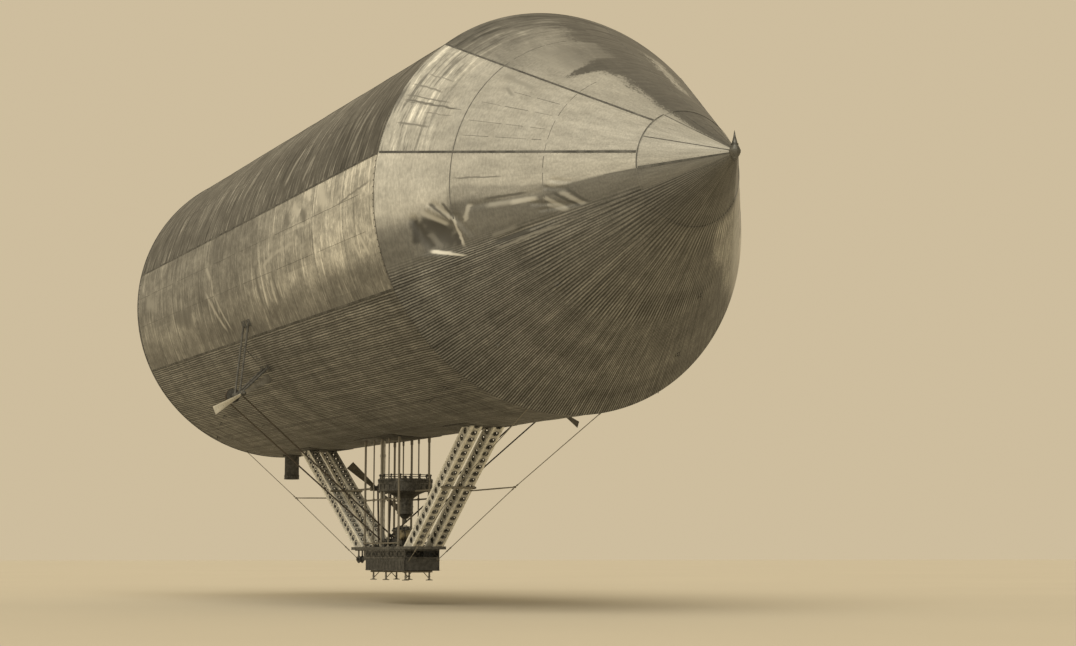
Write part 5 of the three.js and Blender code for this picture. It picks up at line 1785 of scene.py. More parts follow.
@dataclass
class Platform:
    """The round machinery platform with its ring, and the column of gears below it."""

    x: float = -0.465
    radius: float = 0.905
    top_z: float = -7.23
    ring_bottom: float = -7.3597
    bottom_z: float = -7.64
    plate: float = 0.03
    hatch: float = 0.3
    ring_outer: float = 0.935
    ring_inner: float = 0.805
    rail_reach: float = 0.87
    posts: int = 16
    column_bottom: float = -8.7
    stem_top: float = -8.35
    sides: int = 72

    def ring(self, gather: Gather, low: float, profile: Sequence[Pair]) -> None:
        """Adds a ring about the platform's middle, from heights above a level and radii."""
        gather.hoop((self.x, 0.0, low), UP, profile, self.sides)

    def studs(self, spots: Spots, z: float, radius: float, count: int, radial: bool = True) -> None:
        """Adds points round the platform's middle, facing away from it or up."""
        spots.circle((self.x, 0.0, z), UP, radius, count, radial)

    def deck(self) -> None:
        """Makes the deck, its wall, angles and ribs."""
        gather, ribs, rivets = Gather(), Spots(), Spots()
        r, low, wall = self.radius, self.bottom_z, self.ring_bottom - self.bottom_z
        self.ring(gather, low, band(self.hatch, r, 0.0, self.plate))
        self.ring(gather, low, band(r - 0.016, r - 0.002, 0.0, wall))
        for foot in (low, low + wall - 0.05):
            self.ring(gather, foot, band(r - 0.004, r + 0.014, 0.0, 0.05))
        self.ring(gather, low + self.plate, band(self.hatch - 0.01, self.hatch + 0.05, -0.004, 0.02))
        self.studs(ribs, low + wall / 2, r + 0.006, 24)
        for rise in (0.025, wall - 0.025):
            self.studs(rivets, low + rise, r + 0.014, 72)
        gather.build("platform_deck_plates", IRON, Slot.IRON, "platform_deck")
        ribs.grow("platform_ribs", Slot.IRON, (wall - 0.1, 0.022, 0.024), IRON, Shape.BLOCK)
        rivets.grow("platform_rivets", Slot.IRON, (0.009, 0.005, 0.006))

    def top(self) -> None:
        """Makes the top ring with its pins, bolts and stanchions."""
        gather, pins, bolts = Gather(), Spots(), Spots()
        low, high, outer, inner = self.ring_bottom, self.top_z, self.ring_outer, self.ring_inner
        rise, reach = high - low, self.rail_reach
        self.ring(gather, low, [
            (0.0, inner), (0.0, outer - 0.02), (0.02, outer), (0.045, outer), (0.05, outer - 0.016),
            (0.08, outer - 0.016), (0.085, outer), (rise - 0.01, outer), (rise, outer - 0.012),
            (rise, inner + 0.01), (rise - 0.012, inner),
        ])
        self.studs(bolts, high, (outer + inner) / 2 + 0.025, 48, radial=False)
        self.studs(pins, low + 0.065, outer - 0.018, 96)
        for turn in (FULL_TURN * (k + 0.5) / self.posts for k in range(self.posts)):
            gather.turned((self.x + reach * math.cos(turn), reach * math.sin(turn), high - 0.005), UP, [
                (0.0, 0.034), (0.02, 0.034), (0.024, 0.02), (0.10, 0.018),
                (0.104, 0.03), (0.13, 0.042), (0.16, 0.03), (0.17, 0.006),
            ], 10)
        self.ring(gather, high + 0.12, band(reach - 0.012, reach + 0.012, 0.0, 0.024))
        gather.build("platform_top_ring", IRON, Slot.IRON, "platform_ring")
        pins.grow("platform_ring_teeth", Slot.IRON, (0.028, 0.03, 0.03), IRON, Shape.BLOCK)
        bolts.grow("platform_ring_bolts", Slot.IRON, (0.014, 0.013, 0.014))

    def column(self) -> None:
        """Makes the gear column: its foot, cone and toothed head."""
        gather, teeth, bolts = Gather(), Spots(), Spots()
        foot, deck = self.column_bottom, self.bottom_z
        stem, cone = self.stem_top - foot, deck - 0.24 - foot
        top, head = deck - 0.0003 - foot, deck + 0.21 - foot
        gather.turned((self.x, 0.0, foot), UP, [
            (0.0, 0.058), (0.138, 0.058), (0.14, 0.10), (0.15, 0.11), (0.19, 0.145),
            (stem - 0.05, 0.262), (stem - 0.045, 0.28), (stem + 0.01, 0.28), (stem + 0.015, 0.268),
            (stem + 0.17, 0.268), (stem + 0.175, 0.28), (stem + 0.215, 0.28), (stem + 0.22, 0.268),
            (cone - 0.05, 0.268), (cone - 0.045, 0.28), (cone, 0.28), (cone + 0.05, 0.34),
            (cone + 0.15, 0.50),
            (top - 0.045, 0.61), (top - 0.04, 0.64), (top - 0.004, 0.645), (top, 0.63), (top + 0.004, 0.28),
            (head - 0.08, 0.278), (head - 0.075, 0.245), (head - 0.01, 0.24), (head, 0.20),
        ], 48)
        gather.turned((self.x, 0.0, deck + 0.20), UP, [
            (0.0, 0.06), (0.20, 0.055), (0.205, 0.085), (0.25, 0.085), (0.26, 0.05), (0.34, 0.045),
        ])
        self.studs(teeth, deck + 0.165, 0.25, 36)
        self.studs(bolts, foot + cone - 0.022, 0.28, 20)
        self.studs(bolts, foot + top - 0.02, 0.642, 44)
        gather.build("gear_column_casting", IRON, Slot.IRON, "gear_column")
        teeth.grow("gear_column_teeth", Slot.IRON, (0.06, 0.024, 0.05), IRON, Shape.BLOCK)
        bolts.grow("gear_column_bolts", Slot.IRON, (0.011, 0.010, 0.012))

    def build(self) -> None:
        """Makes the platform and its column."""
        self.deck()
        self.top()
        self.column()


@dataclass
class Gondola:
    """The open tub with its floor, the lattice above it, the carrier, the rear sheaves and the feet."""

    rear: float = -2.4
    front: float = 1.0
    half: float = 0.625
    floor_z: float = -10.3
    top_z: float = -9.9
    wall: float = 0.016
    rim_radius: float = 0.0175
    rivet_pitch: float = 0.068
    carrier_rear: float = -3.72
    carrier_front: float = 1.49
    carrier_top: float = -9.5003
    carrier_bottom: float = -9.6003
    carrier_y: float = 0.64
    angle: float = 0.05
    sheet: float = 0.008
    bays: int = 10
    gussets: tuple[float, ...] = (-2.45, -1.2, 0.0, 0.96)
    sheave_x: float = -3.5
    sheave_y: float = 0.375
    sheave_z: float = -9.925
    foot_y: float = 0.43

    def tub(self) -> None:
        """Makes the tub: sheet walls with a rolled rim, ribs, rivets and a slatted floor."""
        gather, ribs, rivets, slats = Gather(), Spots(), Spots(), Spots()
        rear, front, half = self.rear, self.front, self.half
        floor, top, inner = self.floor_z, self.top_z, self.wall
        gather.box((rear, -half, floor), (front, half, floor + inner))
        for side in BOTH:
            gather.box((rear, side * half, floor), (front, side * (half - inner), top - 0.01))
            for low in (floor, top - 0.07):
                gather.box((rear, side * half, low), (front, side * (half + 0.006), low + 0.035))
        for x, way in ((rear, 1.0), (front, -1.0)):
            gather.box((x, -half, floor), (x + way * inner, half, top - 0.01))
        inset = 0.018
        corners = [
            ((front if a > 0 else rear) - a * inset, b * (inset - half), top - inset) for a, b in CORNERS
        ]
        for start, end in zip(corners, (*corners[1:], corners[0])):
            gather.bar(start, end, self.rim_radius)
        for k, side in product(range(13), BOTH):
            x, y, facing = rear + 0.08 + k * (front - rear - 0.16) / 12, side * (half + 0.006), (0, side, 0)
            ribs.add((x, side * (half + 0.002), (floor + top) / 2 - 0.01), facing, UP)
            for z in (floor + 0.018, top - 0.052):
                rivets.row((x, y, z), (x + 0.27, y, z), self.rivet_pitch, facing)
        for k in range(28):
            slats.add((rear + 0.09 + k * 0.119, 0.0, floor + 0.0245), UP)
        ends = ((rear - 0.001, -1.0), (front + 0.001, 1.0))
        for y, (x, way), z in product((-0.4, 0.0, 0.4), ends, (floor + 0.02, top - 0.052)):
            rivets.row((x, y - 0.2, z), (x, y + 0.2, z), self.rivet_pitch, (way, 0, 0))
        gather.build("gondola_tub_sheets", TUB, Slot.IRON, "gondola_tub")
        ribs.grow("gondola_ribs", Slot.IRON, (0.31, 0.03, 0.016), IRON, Shape.BLOCK)
        rivets.grow("gondola_rivets", Slot.IRON, (0.007, 0.004, 0.005))
        slats.grow("gondola_floor_slats", Slot.IRON, (0.105, 1.2, 0.016), PLANK, Shape.BLOCK)

    def lattice(self) -> None:
        """Makes the lattice between tub and carrier: angle rails, crossed flats, posts and screens."""
        gather, screens, rivets = Gather(), Gather(), Spots()
        low, high = self.top_z + 0.0003, self.carrier_bottom - 0.0003
        rear, front, half, angle, sheet = self.rear, self.front, self.half, self.angle, self.sheet
        for z0, z1, z2 in ((low, low + sheet, low + angle), (high - sheet, high, high - angle)):
            for side in BOTH:
                gather.box((rear, side * half, z0), (front, side * (half - angle), z1))
                gather.box((rear, side * half, z1), (front, side * (half - sheet), z2))
            for x, way in ((rear, 1.0), (front, -1.0)):
                gather.box((x, -half, z0), (x + way * angle, half, z1))
                gather.box((x, -half, z1), (x + way * sheet, half, z2))
        pitch, inner = (front - rear) / self.bays, half - angle
        for side in BOTH:
            y, thick, facing = half - 0.012, Vector((0.0, side * 0.005, 0.0)), (0, side, 0)
            for x in (rear + bay * pitch for bay in range(self.bays)):
                for a, b, level in ((x, x + pitch, y), (x + pitch, x, y - 0.006)):
                    start, end = Vector((a, side * level, low + 0.02)), Vector((b, side * level, high - 0.02))
                    line = (end - start).normalized()
                    across = Vector((-line.z, 0.0, line.x)) * 0.016
                    section = (-across, across, across + thick, thick - across)
                    gather.loft([[spot + corner for corner in section] for spot in (start, end)])
                rivets.add((x + pitch / 2, side * (y + 0.004), (low + high) / 2), facing)
                for z in (low + 0.025, high - 0.025):
                    rivets.add((x + 0.02, side * half, z), facing)
            for bay in range(0, self.bays + 1, 2):
                x = min(max(rear + bay * pitch, rear + 0.02), front - 0.02)
                gather.box((x - 0.018, side * (half - 0.03), low), (x + 0.018, side * (half - 0.002), high))
            outer = (front - 0.01, side * (inner + 0.008), high - 0.0085)
            screens.box((rear + 0.01, side * (inner + 0.002), low + 0.0085), outer)
            for x in (rear + 0.1 + k * 0.2 for k in range(17)):
                outer = (x + 0.012, side * (inner + 0.012), high - 0.01)
                screens.box((x, side * (inner + 0.0079), low + 0.01), outer)
        wide = (half - 0.02) / 2
        for x, k in product((rear + 0.012, front - 0.012), (-2, -1, 0, 1)):
            for a, b in ((k * wide, (k + 1) * wide), ((k + 1) * wide, k * wide)):
                gather.bar((x, a, low + 0.02), (x, b, high - 0.02), 0.009, 6)
        screens.build("gondola_lattice_screens", IRON, Slot.GIRDER)
        gather.build("gondola_lattice_bars", IRON, Slot.GIRDER, "gondola_lattice")
        rivets.grow("gondola_lattice_rivets", Slot.GIRDER, (0.011, 0.006, 0.007))

    def carrier_details(self) -> None:
        """Makes the gussets and bolts on the carrier frame, which stays as modelled."""
        gather, bolts = Gather(), Spots()
        bottom = self.carrier_bottom
        for side in BOTH:
            y, outer, facing = side * self.carrier_y, side * (self.carrier_y + 0.008), (0, side, 0)
            for z in (bottom + 0.03, bottom + 0.075):
                bolts.row((self.carrier_rear + 0.05, y, z), (self.carrier_front, y, z), 0.14, facing)
            for x in self.gussets:
                gather.box((x - 0.09, y, bottom + 0.01), (x + 0.09, outer, self.carrier_top - 0.008))
                bolts.circle((x, outer, bottom + 0.05), facing, 0.055, 4, phase=0.5)
        gather.build("carrier_gussets", DULL, Slot.GIRDER)
        bolts.grow("carrier_bolts", Slot.GIRDER, (0.010, 0.008, 0.009))

    def sheaves(self) -> None:
        """Makes the sheaves and blocks that hang behind the gondola."""
        top, x, z = self.carrier_bottom - 0.0003, self.sheave_x, self.sheave_z
        for name, side in SIDES.items():
            gather, bolts = Gather(), Spots()
            y = side * self.sheave_y
            gather.box((x - 0.15, y - 0.15, top - 0.03), (-2.56, y + 0.15, top))
            for edge in (y - 0.075, y + 0.06):
                gather.box((x - 0.06, edge, z - 0.005), (x + 0.06, edge + 0.015, top - 0.01))
                gather.turned((x, edge - 0.004, z), TO_PORT, [(0.0, 0.05), (0.023, 0.05)])
            gather.turned((x, y - 0.15, z), TO_PORT, mirrored(0.3, [
                (0.0, 0.045), (0.01, 0.06), (0.06, 0.06), (0.062, 0.125),
                (0.075, 0.135), (0.095, 0.135), (0.13, 0.10),
            ]), 32)
            gather.slab((-2.71, y), (0.15, 0.14), top - 0.36, top - 0.02)
            gather.slab((-2.71, y), (0.165, 0.10), top - 0.34, top - 0.30)
            for place in (-2.8, -2.62):
                outer = y + side * 0.14
                bolts.row((place, outer, top - 0.33), (place, outer, top - 0.03), 0.1, (0, side, 0))
            gather.build(f"rear_bracket_{name}_parts", IRON, Slot.IRON, f"rear_bracket_{name}")
            bolts.grow(f"rear_bracket_{name}_bolts", Slot.IRON, (0.012, 0.010, 0.010))

    def feet(self) -> None:
        """Makes the three pairs of landing feet."""
        for name, x in (("foot_rear", -2.15), ("foot_middle", -1.05), ("foot_front", 0.62)):
            gather = Gather()
            gather.slab((x, 0.0), (0.035, 0.53), self.floor_z - 0.06, self.floor_z - 0.0005)
            for side in BOTH:
                y = side * self.foot_y
                gather.turned((x, y, -10.605), UP, [
                    (0.0, 0.045), (0.03, 0.045), (0.04, 0.03), (0.09, 0.03),
                    (0.095, 0.038), (0.13, 0.038), (0.135, 0.03), (0.275, 0.03),
                ], 16)
                gather.loft([
                    [(x + a * reach, y + b * reach, z) for a, b in CORNERS]
                    for reach, z in ((0.08, -10.62), (0.09, -10.612), (0.09, -10.6), (0.055, -10.588))
                ])
                gather.bar((x, y, -10.56), (x, side * 0.2, self.floor_z - 0.03), 0.014, 8)
            gather.build(f"{name}_struts", TUBE, Slot.TUBE, name)

    def build(self) -> None:
        """Makes the whole gondola."""
        self.tub()
        self.lattice()
        self.carrier_details()
        self.sheaves()
        self.feet()


# Engine and drive


@dataclass
class Engine:
    """The four-cylinder engine in the gondola, with its pipes, and the fuel tank ahead of it."""

    rear: float = -1.23
    front: float = -0.17
    bed_z: float = -9.7
    top_z: float = -9.23
    floor_z: float = -10.2677
    cylinders: int = 4
    fins: int = 9
    fin_pitch: float = 0.027
    door_z: float = -9.57
    exhaust_y: float = 0.25
    exhaust_z: float = -9.06
    intake_y: float = -0.18
    tank_x: float = 0.04
    tank_z: float = -9.12
    tank_radius: float = 0.17
    tank_half: float = 0.42
    strap_y: tuple[float, ...] = (-0.28, 0.28)
    stand_z: float = -9.4997

    def place(self, cylinder: int) -> float:
        """Gives the place of a cylinder along the airship."""
        return self.rear + (cylinder + 0.5) * (self.front - self.rear) / self.cylinders

    def crankcase(self, gather: Gather, bolts: Spots) -> None:
        """Adds the crankcase with its flanges, doors and bearers."""
        rear, front, bed, top = self.rear, self.front, self.bed_z, self.top_z
        waist = (bed + top) / 2
        half = [
            (0.15, bed), (0.19, bed + 0.06), (0.19, waist - 0.02),
            (0.16, waist + 0.04), (0.14, top - 0.02), (0.125, top),
        ]
        outline = [*half, *((-y, z) for y, z in reversed(half))]
        ends = ((rear, 0.93), (rear + 0.015, 1.0), (front - 0.015, 1.0), (front, 0.93))
        gather.loft([[(x, y * share, z) for y, z in outline] for x, share in ends])
        gather.box((rear, -0.2, waist - 0.012), (front, 0.2, waist + 0.012))
        for x in (rear + 0.12, front - 0.12):
            gather.slab((x, 0.0), (0.06, 0.28), self.floor_z, bed + 0.02)
            gather.slab((x, 0.0), (0.08, 0.28), self.floor_z, self.floor_z + 0.02)
        for k, side in product(range(self.cylinders), BOTH):
            x, facing = self.place(k), (0, side, 0)
            door = [(0.0, 0.075), (0.012, 0.075), (0.014, 0.06), (0.022, 0.055)]
            gather.turned((x, side * 0.185, self.door_z), facing, door, 24)
            bolts.circle((x, side * 0.197, self.door_z), facing, 0.066, 8)
        for y in (-0.194, 0.194):
            bolts.row((rear, y, waist + 0.012), (front, y, waist + 0.012), 0.075, UP)
        filler = [(0.0, 0.02), (0.09, 0.02), (0.092, 0.03), (0.11, 0.03)]
        gather.turned(((rear + front) / 2, 0.12, bed + 0.04), TO_PORT, filler, 12)

    def cylinder(self, gather: Gather, bolts: Spots, x: float) -> None:
        """Adds one finned cylinder with its head, valves and rods."""
        foot = self.top_z - 0.01
        profile = [(0.0, 0.118), (0.028, 0.118), (0.03, 0.09)]
        for low in (0.055 + fin * self.fin_pitch for fin in range(self.fins)):
            profile += [(low, 0.088), (low + 0.002, 0.106), (low + 0.009, 0.106), (low + 0.011, 0.088)]
        profile += [(0.305, 0.088), (0.308, 0.104), (0.34, 0.104)]
        profile += [(0.36, 0.085), (0.40, 0.068), (0.408, 0.05)]
        gather.turned((x, 0.0, foot), UP, profile, 28)
        bolts.circle((x, 0.0, foot + 0.028), UP, 0.105, 8, phase=0.5)
        for place in (x - 0.045, x + 0.045):
            gather.turned((place, 0.055, foot + 0.33), UP, [
                (0.0, 0.026), (0.04, 0.026), (0.042, 0.02), (0.05, 0.014),
                (0.056, 0.02), (0.062, 0.014), (0.068, 0.02), (0.085, 0.008),
            ], 12)
            gather.bar((place, 0.145, foot - 0.02), (place, 0.13, foot + 0.40), 0.008, 8)
            gather.bar((place, 0.04, foot + 0.415), (place, 0.145, foot + 0.40), 0.010, 8)
        intake = ((-0.08, 0.36), (-0.13, 0.37), (-0.17, 0.34), (-0.18, 0.28))
        gather.path([(x, y, foot + rise) for y, rise in intake], 0.02, 12)
        y, z = self.exhaust_y, self.exhaust_z
        gather.path([(x, 0.06, foot + 0.33), (x, 0.13, z + 0.01), (x, y - 0.01, z)], 0.024, 12)

    def pipes(self, gather: Gather) -> None:
        """Adds the exhaust, the intake pipe with its mixing chamber, and the water pipe."""
        first, last = self.place(0), self.place(self.cylinders - 1)
        y, z, low, water = self.exhaust_y, self.exhaust_z, self.top_z + 0.27, self.top_z + 0.39
        tail = (self.front - 0.06, y + 0.01, z - 0.004)
        gather.path([(first - 0.05, y, z), (last, y, z), (self.front - 0.12, y, z), tail], 0.036, 16)
        gather.turned((self.front - 0.20, y, z), AHEAD, mirrored(0.14, [(0.0, 0.036), (0.01, 0.052)]))
        gather.path([(first - 0.04, self.intake_y, low), (last + 0.04, self.intake_y, low)], 0.026, 12)
        chamber = [(0.0, 0.02), (0.004, 0.045), (0.08, 0.045), (0.09, 0.03), (0.2, 0.026)]
        gather.turned(((first + last) / 2, self.intake_y, low - 0.20), UP, chamber, 16)
        bends = ((first, water), (first, water + 0.04), (last, water + 0.04), (last, water))
        gather.path([(x, 0.0, height) for x, height in bends], 0.013)

    def tank(self) -> None:
        """Makes the fuel tank with domed ends, straps, cap and cradle."""
        gather, metal, rivets = Gather(), Gather(), Spots()
        x, z, r, half, stand = self.tank_x, self.tank_z, self.tank_radius, self.tank_half, self.stand_z
        dome = [(0.0, 0.04), (0.006, 0.10), (0.018, 0.145), (0.034, r - 0.004), (0.04, r)]
        gather.turned((x, -half, z), TO_PORT, mirrored(2 * half, dome), 40)
        gather.turned((x, 0.12, z + r - 0.01), UP, [
            (0.0, 0.04), (0.035, 0.04), (0.037, 0.052), (0.062, 0.052), (0.066, 0.03), (0.075, 0.02),
        ])
        metal.slab((x, 0.0), (0.07, 0.6), stand, stand + 0.014)
        metal.slab((x, 0.0), (0.035, 0.6), stand, stand + 0.06)
        for y in self.strap_y:
            metal.hoop((x, y - 0.02, z), TO_PORT, band(r - 0.001, r + 0.005, 0.0, 0.04), 40)
            rivets.circle((x, y, z), TO_PORT, r + 0.005, 16, radial=True)
            metal.slab((x, y), (0.07, 0.012), stand, z - 0.1)
            metal.slab((x, y), (0.012, 0.05), stand, z - 0.12)
        gather.build("fuel_tank_drum", BRASS, Slot.BRASS, "fuel_tank")
        metal.build("fuel_tank_cradle", IRON, Slot.IRON)
        rivets.grow("fuel_tank_rivets", Slot.BRASS, (0.006, 0.003, 0.004), BRASS)

    def build(self) -> None:
        """Makes the engine and the tank."""
        gather, bolts = Gather(), Spots()
        self.crankcase(gather, bolts)
        for k in range(self.cylinders):
            self.cylinder(gather, bolts, self.place(k))
        self.pipes(gather)
        gather.build("engine_castings", IRON, Slot.IRON, "engine")
        bolts.grow("engine_bolts", Slot.IRON, (0.009, 0.008, 0.010))
        self.tank()


@dataclass(frozen=True)
class Screw:
    """Where one screw is and how its blades stand."""

    name: str
    hub: Point
    reach: float
    angle: float
    pulley_x: float


SIDE_SCREW_REACH = 1.11
SCREWS = (
    Screw("starboard", (-0.5, -5.8, -4.55), SIDE_SCREW_REACH, -32.0, -1.55),
    Screw("port", (-0.5, 5.8, -4.55), SIDE_SCREW_REACH, 32.0, -1.74),
    Screw("centre", (-3.08, 0.0, -7.45), 1.27, 39.0, -2.30),
)
SHAFT_BODY = "engine_shaft"

# Outline of a blade's section, in halves of its width and in its thickness
BLADE_SECTION = (
    (-1.0, 0.0), (-0.93, 0.5), (-0.6, 0.95), (-0.2, 1.0), (0.2, 1.0), (0.6, 0.9), (0.93, 0.45),
    (1.0, 0.0), (0.93, -0.45), (0.6, -0.8), (0.2, -0.9), (-0.2, -0.9), (-0.6, -0.85), (-0.93, -0.5),
)


@dataclass
class Drive:
    """Crankshaft, pulleys, belts, screws and the frames that carry them."""

    crank_z: float = -9.38
    crank_rear: float = -2.48
    crank_front: float = -1.236
    shaft: float = 0.032
    bore: float = 0.039
    drive_radius: float = 0.17
    pulley_radius: float = 0.23
    pulley_width: float = 0.17
    belt_width: float = 0.15
    belt_clear: float = 0.0075
    belt_thick: float = 0.011
    arc_steps: int = 24
    wheel_x: float = -1.37
    wheel_radius: float = 0.33
    spokes: int = 6
    blade_root: float = 0.06
    blade_steps: int = 24
    hub_radius: float = 0.085
    hub_half: float = 0.105
    housing: Pair = (-1.38, -0.76)
    struts: Pair = (-1.32, -0.83)
    hull_half: Pair = (6.0, 5.85)
    hull_squares: Pair = (36.0, 34.2)

    def pulley(self, gather: Gather, place: Point, radius: float) -> None:
        """Adds a crowned pulley with a thin rim, a web and a hub."""
        (x, y, z), wide, hub = place, self.pulley_width, self.shaft + 0.02
        gather.turned((x - wide / 2, y, z), AHEAD, [
            (0.0, radius - 0.028), (0.0, radius - 0.004), (wide * 0.25, radius - 0.001), (wide * 0.5, radius),
            (wide * 0.75, radius - 0.001), (wide, radius - 0.004), (wide, radius - 0.028),
        ], 48)
        gather.turned((x - wide / 2 - 0.012, y, z), AHEAD, band(hub, hub + 0.01, 0.0, wide + 0.024), 24)

    def crankshaft(self) -> None:
        """Makes the crankshaft with its flywheel and pulleys, which turn together."""
        gather, bolts = Gather(), Spots()
        x, z, r = self.wheel_x, self.crank_z, self.wheel_radius
        gather.bar((self.crank_rear, 0.0, z), (self.crank_front, 0.0, z), self.shaft, 20)
        rim = [(0.02, r - 0.056), (0.0, r - 0.05), (0.0, r - 0.006), (0.006, r)]
        gather.hoop((x - 0.045, 0.0, z), AHEAD, mirrored(0.09, rim), 64)
        gather.turned((x - 0.055, 0.0, z), AHEAD, mirrored(0.11, [(0.0, 0.06), (0.01, 0.08)]), 28)
        middle, ahead = Vector((x, 0.0, z)), Vector(AHEAD)
        for turn in (FULL_TURN * k / self.spokes for k in range(self.spokes)):
            out = Vector((0.0, math.cos(turn), math.sin(turn)))
            side = Vector((0.0, -out.z, out.y))
            sections = ((0.06, 0.036, 0.026), (0.17, 0.028, 0.02), (r - 0.05, 0.034, 0.024))
            gather.loft([
                around(middle + out * reach, side * half, ahead * thick, 1.0, 12)
                for reach, half, thick in sections
            ])
            bolts.add(middle + ahead * 0.055 + out * 0.06, AHEAD, out)
        for screw in SCREWS:
            self.pulley(gather, (screw.pulley_x, 0.0, z), self.drive_radius)
        gather.build("crankshaft_and_flywheel", IRON, Slot.IRON, "crankshaft", body=SHAFT_BODY)
        bolts.grow("flywheel_bolts", Slot.IRON, (0.011, 0.010, 0.012), body=SHAFT_BODY)

    def shaft_bearing(self) -> None:
        """Makes the bearing stand of the crankshaft."""
        gather, bolts = Gather(), Spots()
        x, z, low = -2.11, self.crank_z, -9.5
        gather.slab((x, 0.0), (0.07, 0.6), low, low + 0.016)
        gather.slab((x, 0.0), (0.012, 0.6), low, low + 0.06)
        gather.hoop((x - 0.07, 0.0, z), AHEAD, band(self.bore, 0.07, 0.0, 0.14))
        gather.loft([
            [(x + 0.06 * a, y * b, height) for a, b in CORNERS]
            for y, height in ((0.10, low), (0.09, low + 0.03), (0.045, z - 0.05))
        ])
        for y in (-0.085, 0.085):
            bolts.add((x, y, z + 0.005), UP)
            gather.slab((x, y), (0.04, 0.022), z - 0.02, z + 0.005)
        cup = [(0.0, 0.012), (0.02, 0.012), (0.022, 0.02), (0.045, 0.02), (0.05, 0.008)]
        gather.turned((x, 0.0, z + 0.066), UP, cup, 12)
        gather.build("shaft_bearing_stand", IRON, Slot.IRON, "shaft_bearing")
        bolts.grow("shaft_bearing_bolts", Slot.IRON, (0.012, 0.010, 0.014))

    def loop(self, screw: Screw, clear: float) -> list[tuple[Vector, Vector]]:
        """Gives the line of a belt, abreast of the airship's middle.

        Args:
            screw: The screw that it drives.
            clear: The line's distance from the pulleys.

        Returns:
            Its places, each with the way that faces outward.
        """
        low, high = Vector((0.0, 0.0, self.crank_z)), Vector((0.0, *screw.hub[1:]))
        line = high - low
        heading = math.atan2(line.z, line.y)
        spread = math.acos((self.drive_radius - self.pulley_radius) / line.length)
        spots = []
        for centre, radius, start, end in (
            (low, self.drive_radius, heading + spread, heading - spread + FULL_TURN),
            (high, self.pulley_radius, heading - spread, heading + spread),
        ):
            for k in range(self.arc_steps + 1):
                turn = start + (end - start) * k / self.arc_steps
                out = Vector((0.0, math.cos(turn), math.sin(turn)))
                spots.append((centre + out * (radius + clear), out))
        return spots

    def belt(self, screw: Screw) -> None:
        """Makes a belt round its two pulleys, with lacing where its ends meet."""
        gather, laces = Gather(), Spots()
        middle, half, ahead = Vector((screw.pulley_x, 0.0, 0.0)), self.belt_width / 2, Vector(AHEAD)
        inner, outer = (self.loop(screw, self.belt_clear + lift) for lift in (0.0, self.belt_thick))
        rings = []
        for (a, _), (b, out) in zip(inner, outer):
            rise = b + out * 0.002
            near = half - 0.004
            section = ((a, -half), (b, -half), (rise, -near), (rise, near), (b, half), (a, half))
            rings.append([middle + spot + ahead * shift for spot, shift in section])
        gather.loft(rings, endless=True)
        (start, facing), (end, _) = outer[self.arc_steps : self.arc_steps + 2]
        way = (end - start).normalized()
        for share, k, step in product((0.2, 0.55), range(-2, 3), (-0.02, 0.02)):
            spot = middle + start.lerp(end, share) + facing * 0.003
            laces.add(spot + ahead * (k * 0.028) + way * step, facing, way)
        gather.build(f"belt_{screw.name}_strap", LEATHER, Slot.BELT, f"belt_{screw.name}")
        laces.grow(f"belt_{screw.name}_lacing", Slot.BELT, (0.036, 0.006, 0.004), LACE, Shape.BLOCK)

    def blade(self, gather: Gather, rivets: Spots, screw: Screw, flip: float) -> None:
        """Adds one twisted blade, widening to a square tip, with two rows of rivets along it.

        Args:
            gather: Where it goes.
            rivets: Where its rivets go.
            screw: The screw.
            flip: 1 or -1, for the two blades.
        """
        turn, ahead = math.radians(screw.angle), Vector(AHEAD)
        out = Vector((0.0, -math.cos(turn), math.sin(turn))) * flip
        across = Vector((0.0, -out.z, out.y))
        rings = []
        for step in range(self.blade_steps + 1):
            share = step / self.blade_steps
            half, thick, camber = 0.09 + 0.07 * share**0.8, 0.013 - 0.006 * share, 0.012 * share
            pitch = math.radians(36.0 * share - 62.0)
            chord = across * math.cos(pitch) + ahead * math.sin(pitch)
            face = ahead * math.cos(pitch) - across * math.sin(pitch)
            centre = Vector(screw.hub) + out * (self.blade_root + share * (screw.reach - self.blade_root))
            rings.append([
                centre + chord * (half * u) + face * (thick * v + camber * (u * u - 0.5) * 0.6)
                for u, v in BLADE_SECTION
            ])
            if 3 < step < self.blade_steps and step % 2 == 0:
                for u in (-0.12, 0.12):
                    rivets.add(centre + chord * (half * u) + face * (thick - camber * 0.3), face, out)
        gather.loft(rings)

    def screw(self, screw: Screw) -> None:
        """Makes one screw, and its shaft with the pulley, which turn together."""
        name, body, centre = f"screw_{screw.name}", f"{screw.name}_screw", screw.name == "centre"
        hub, shaft, rivets, bolts = Gather(), Gather(), Spots(), Spots()
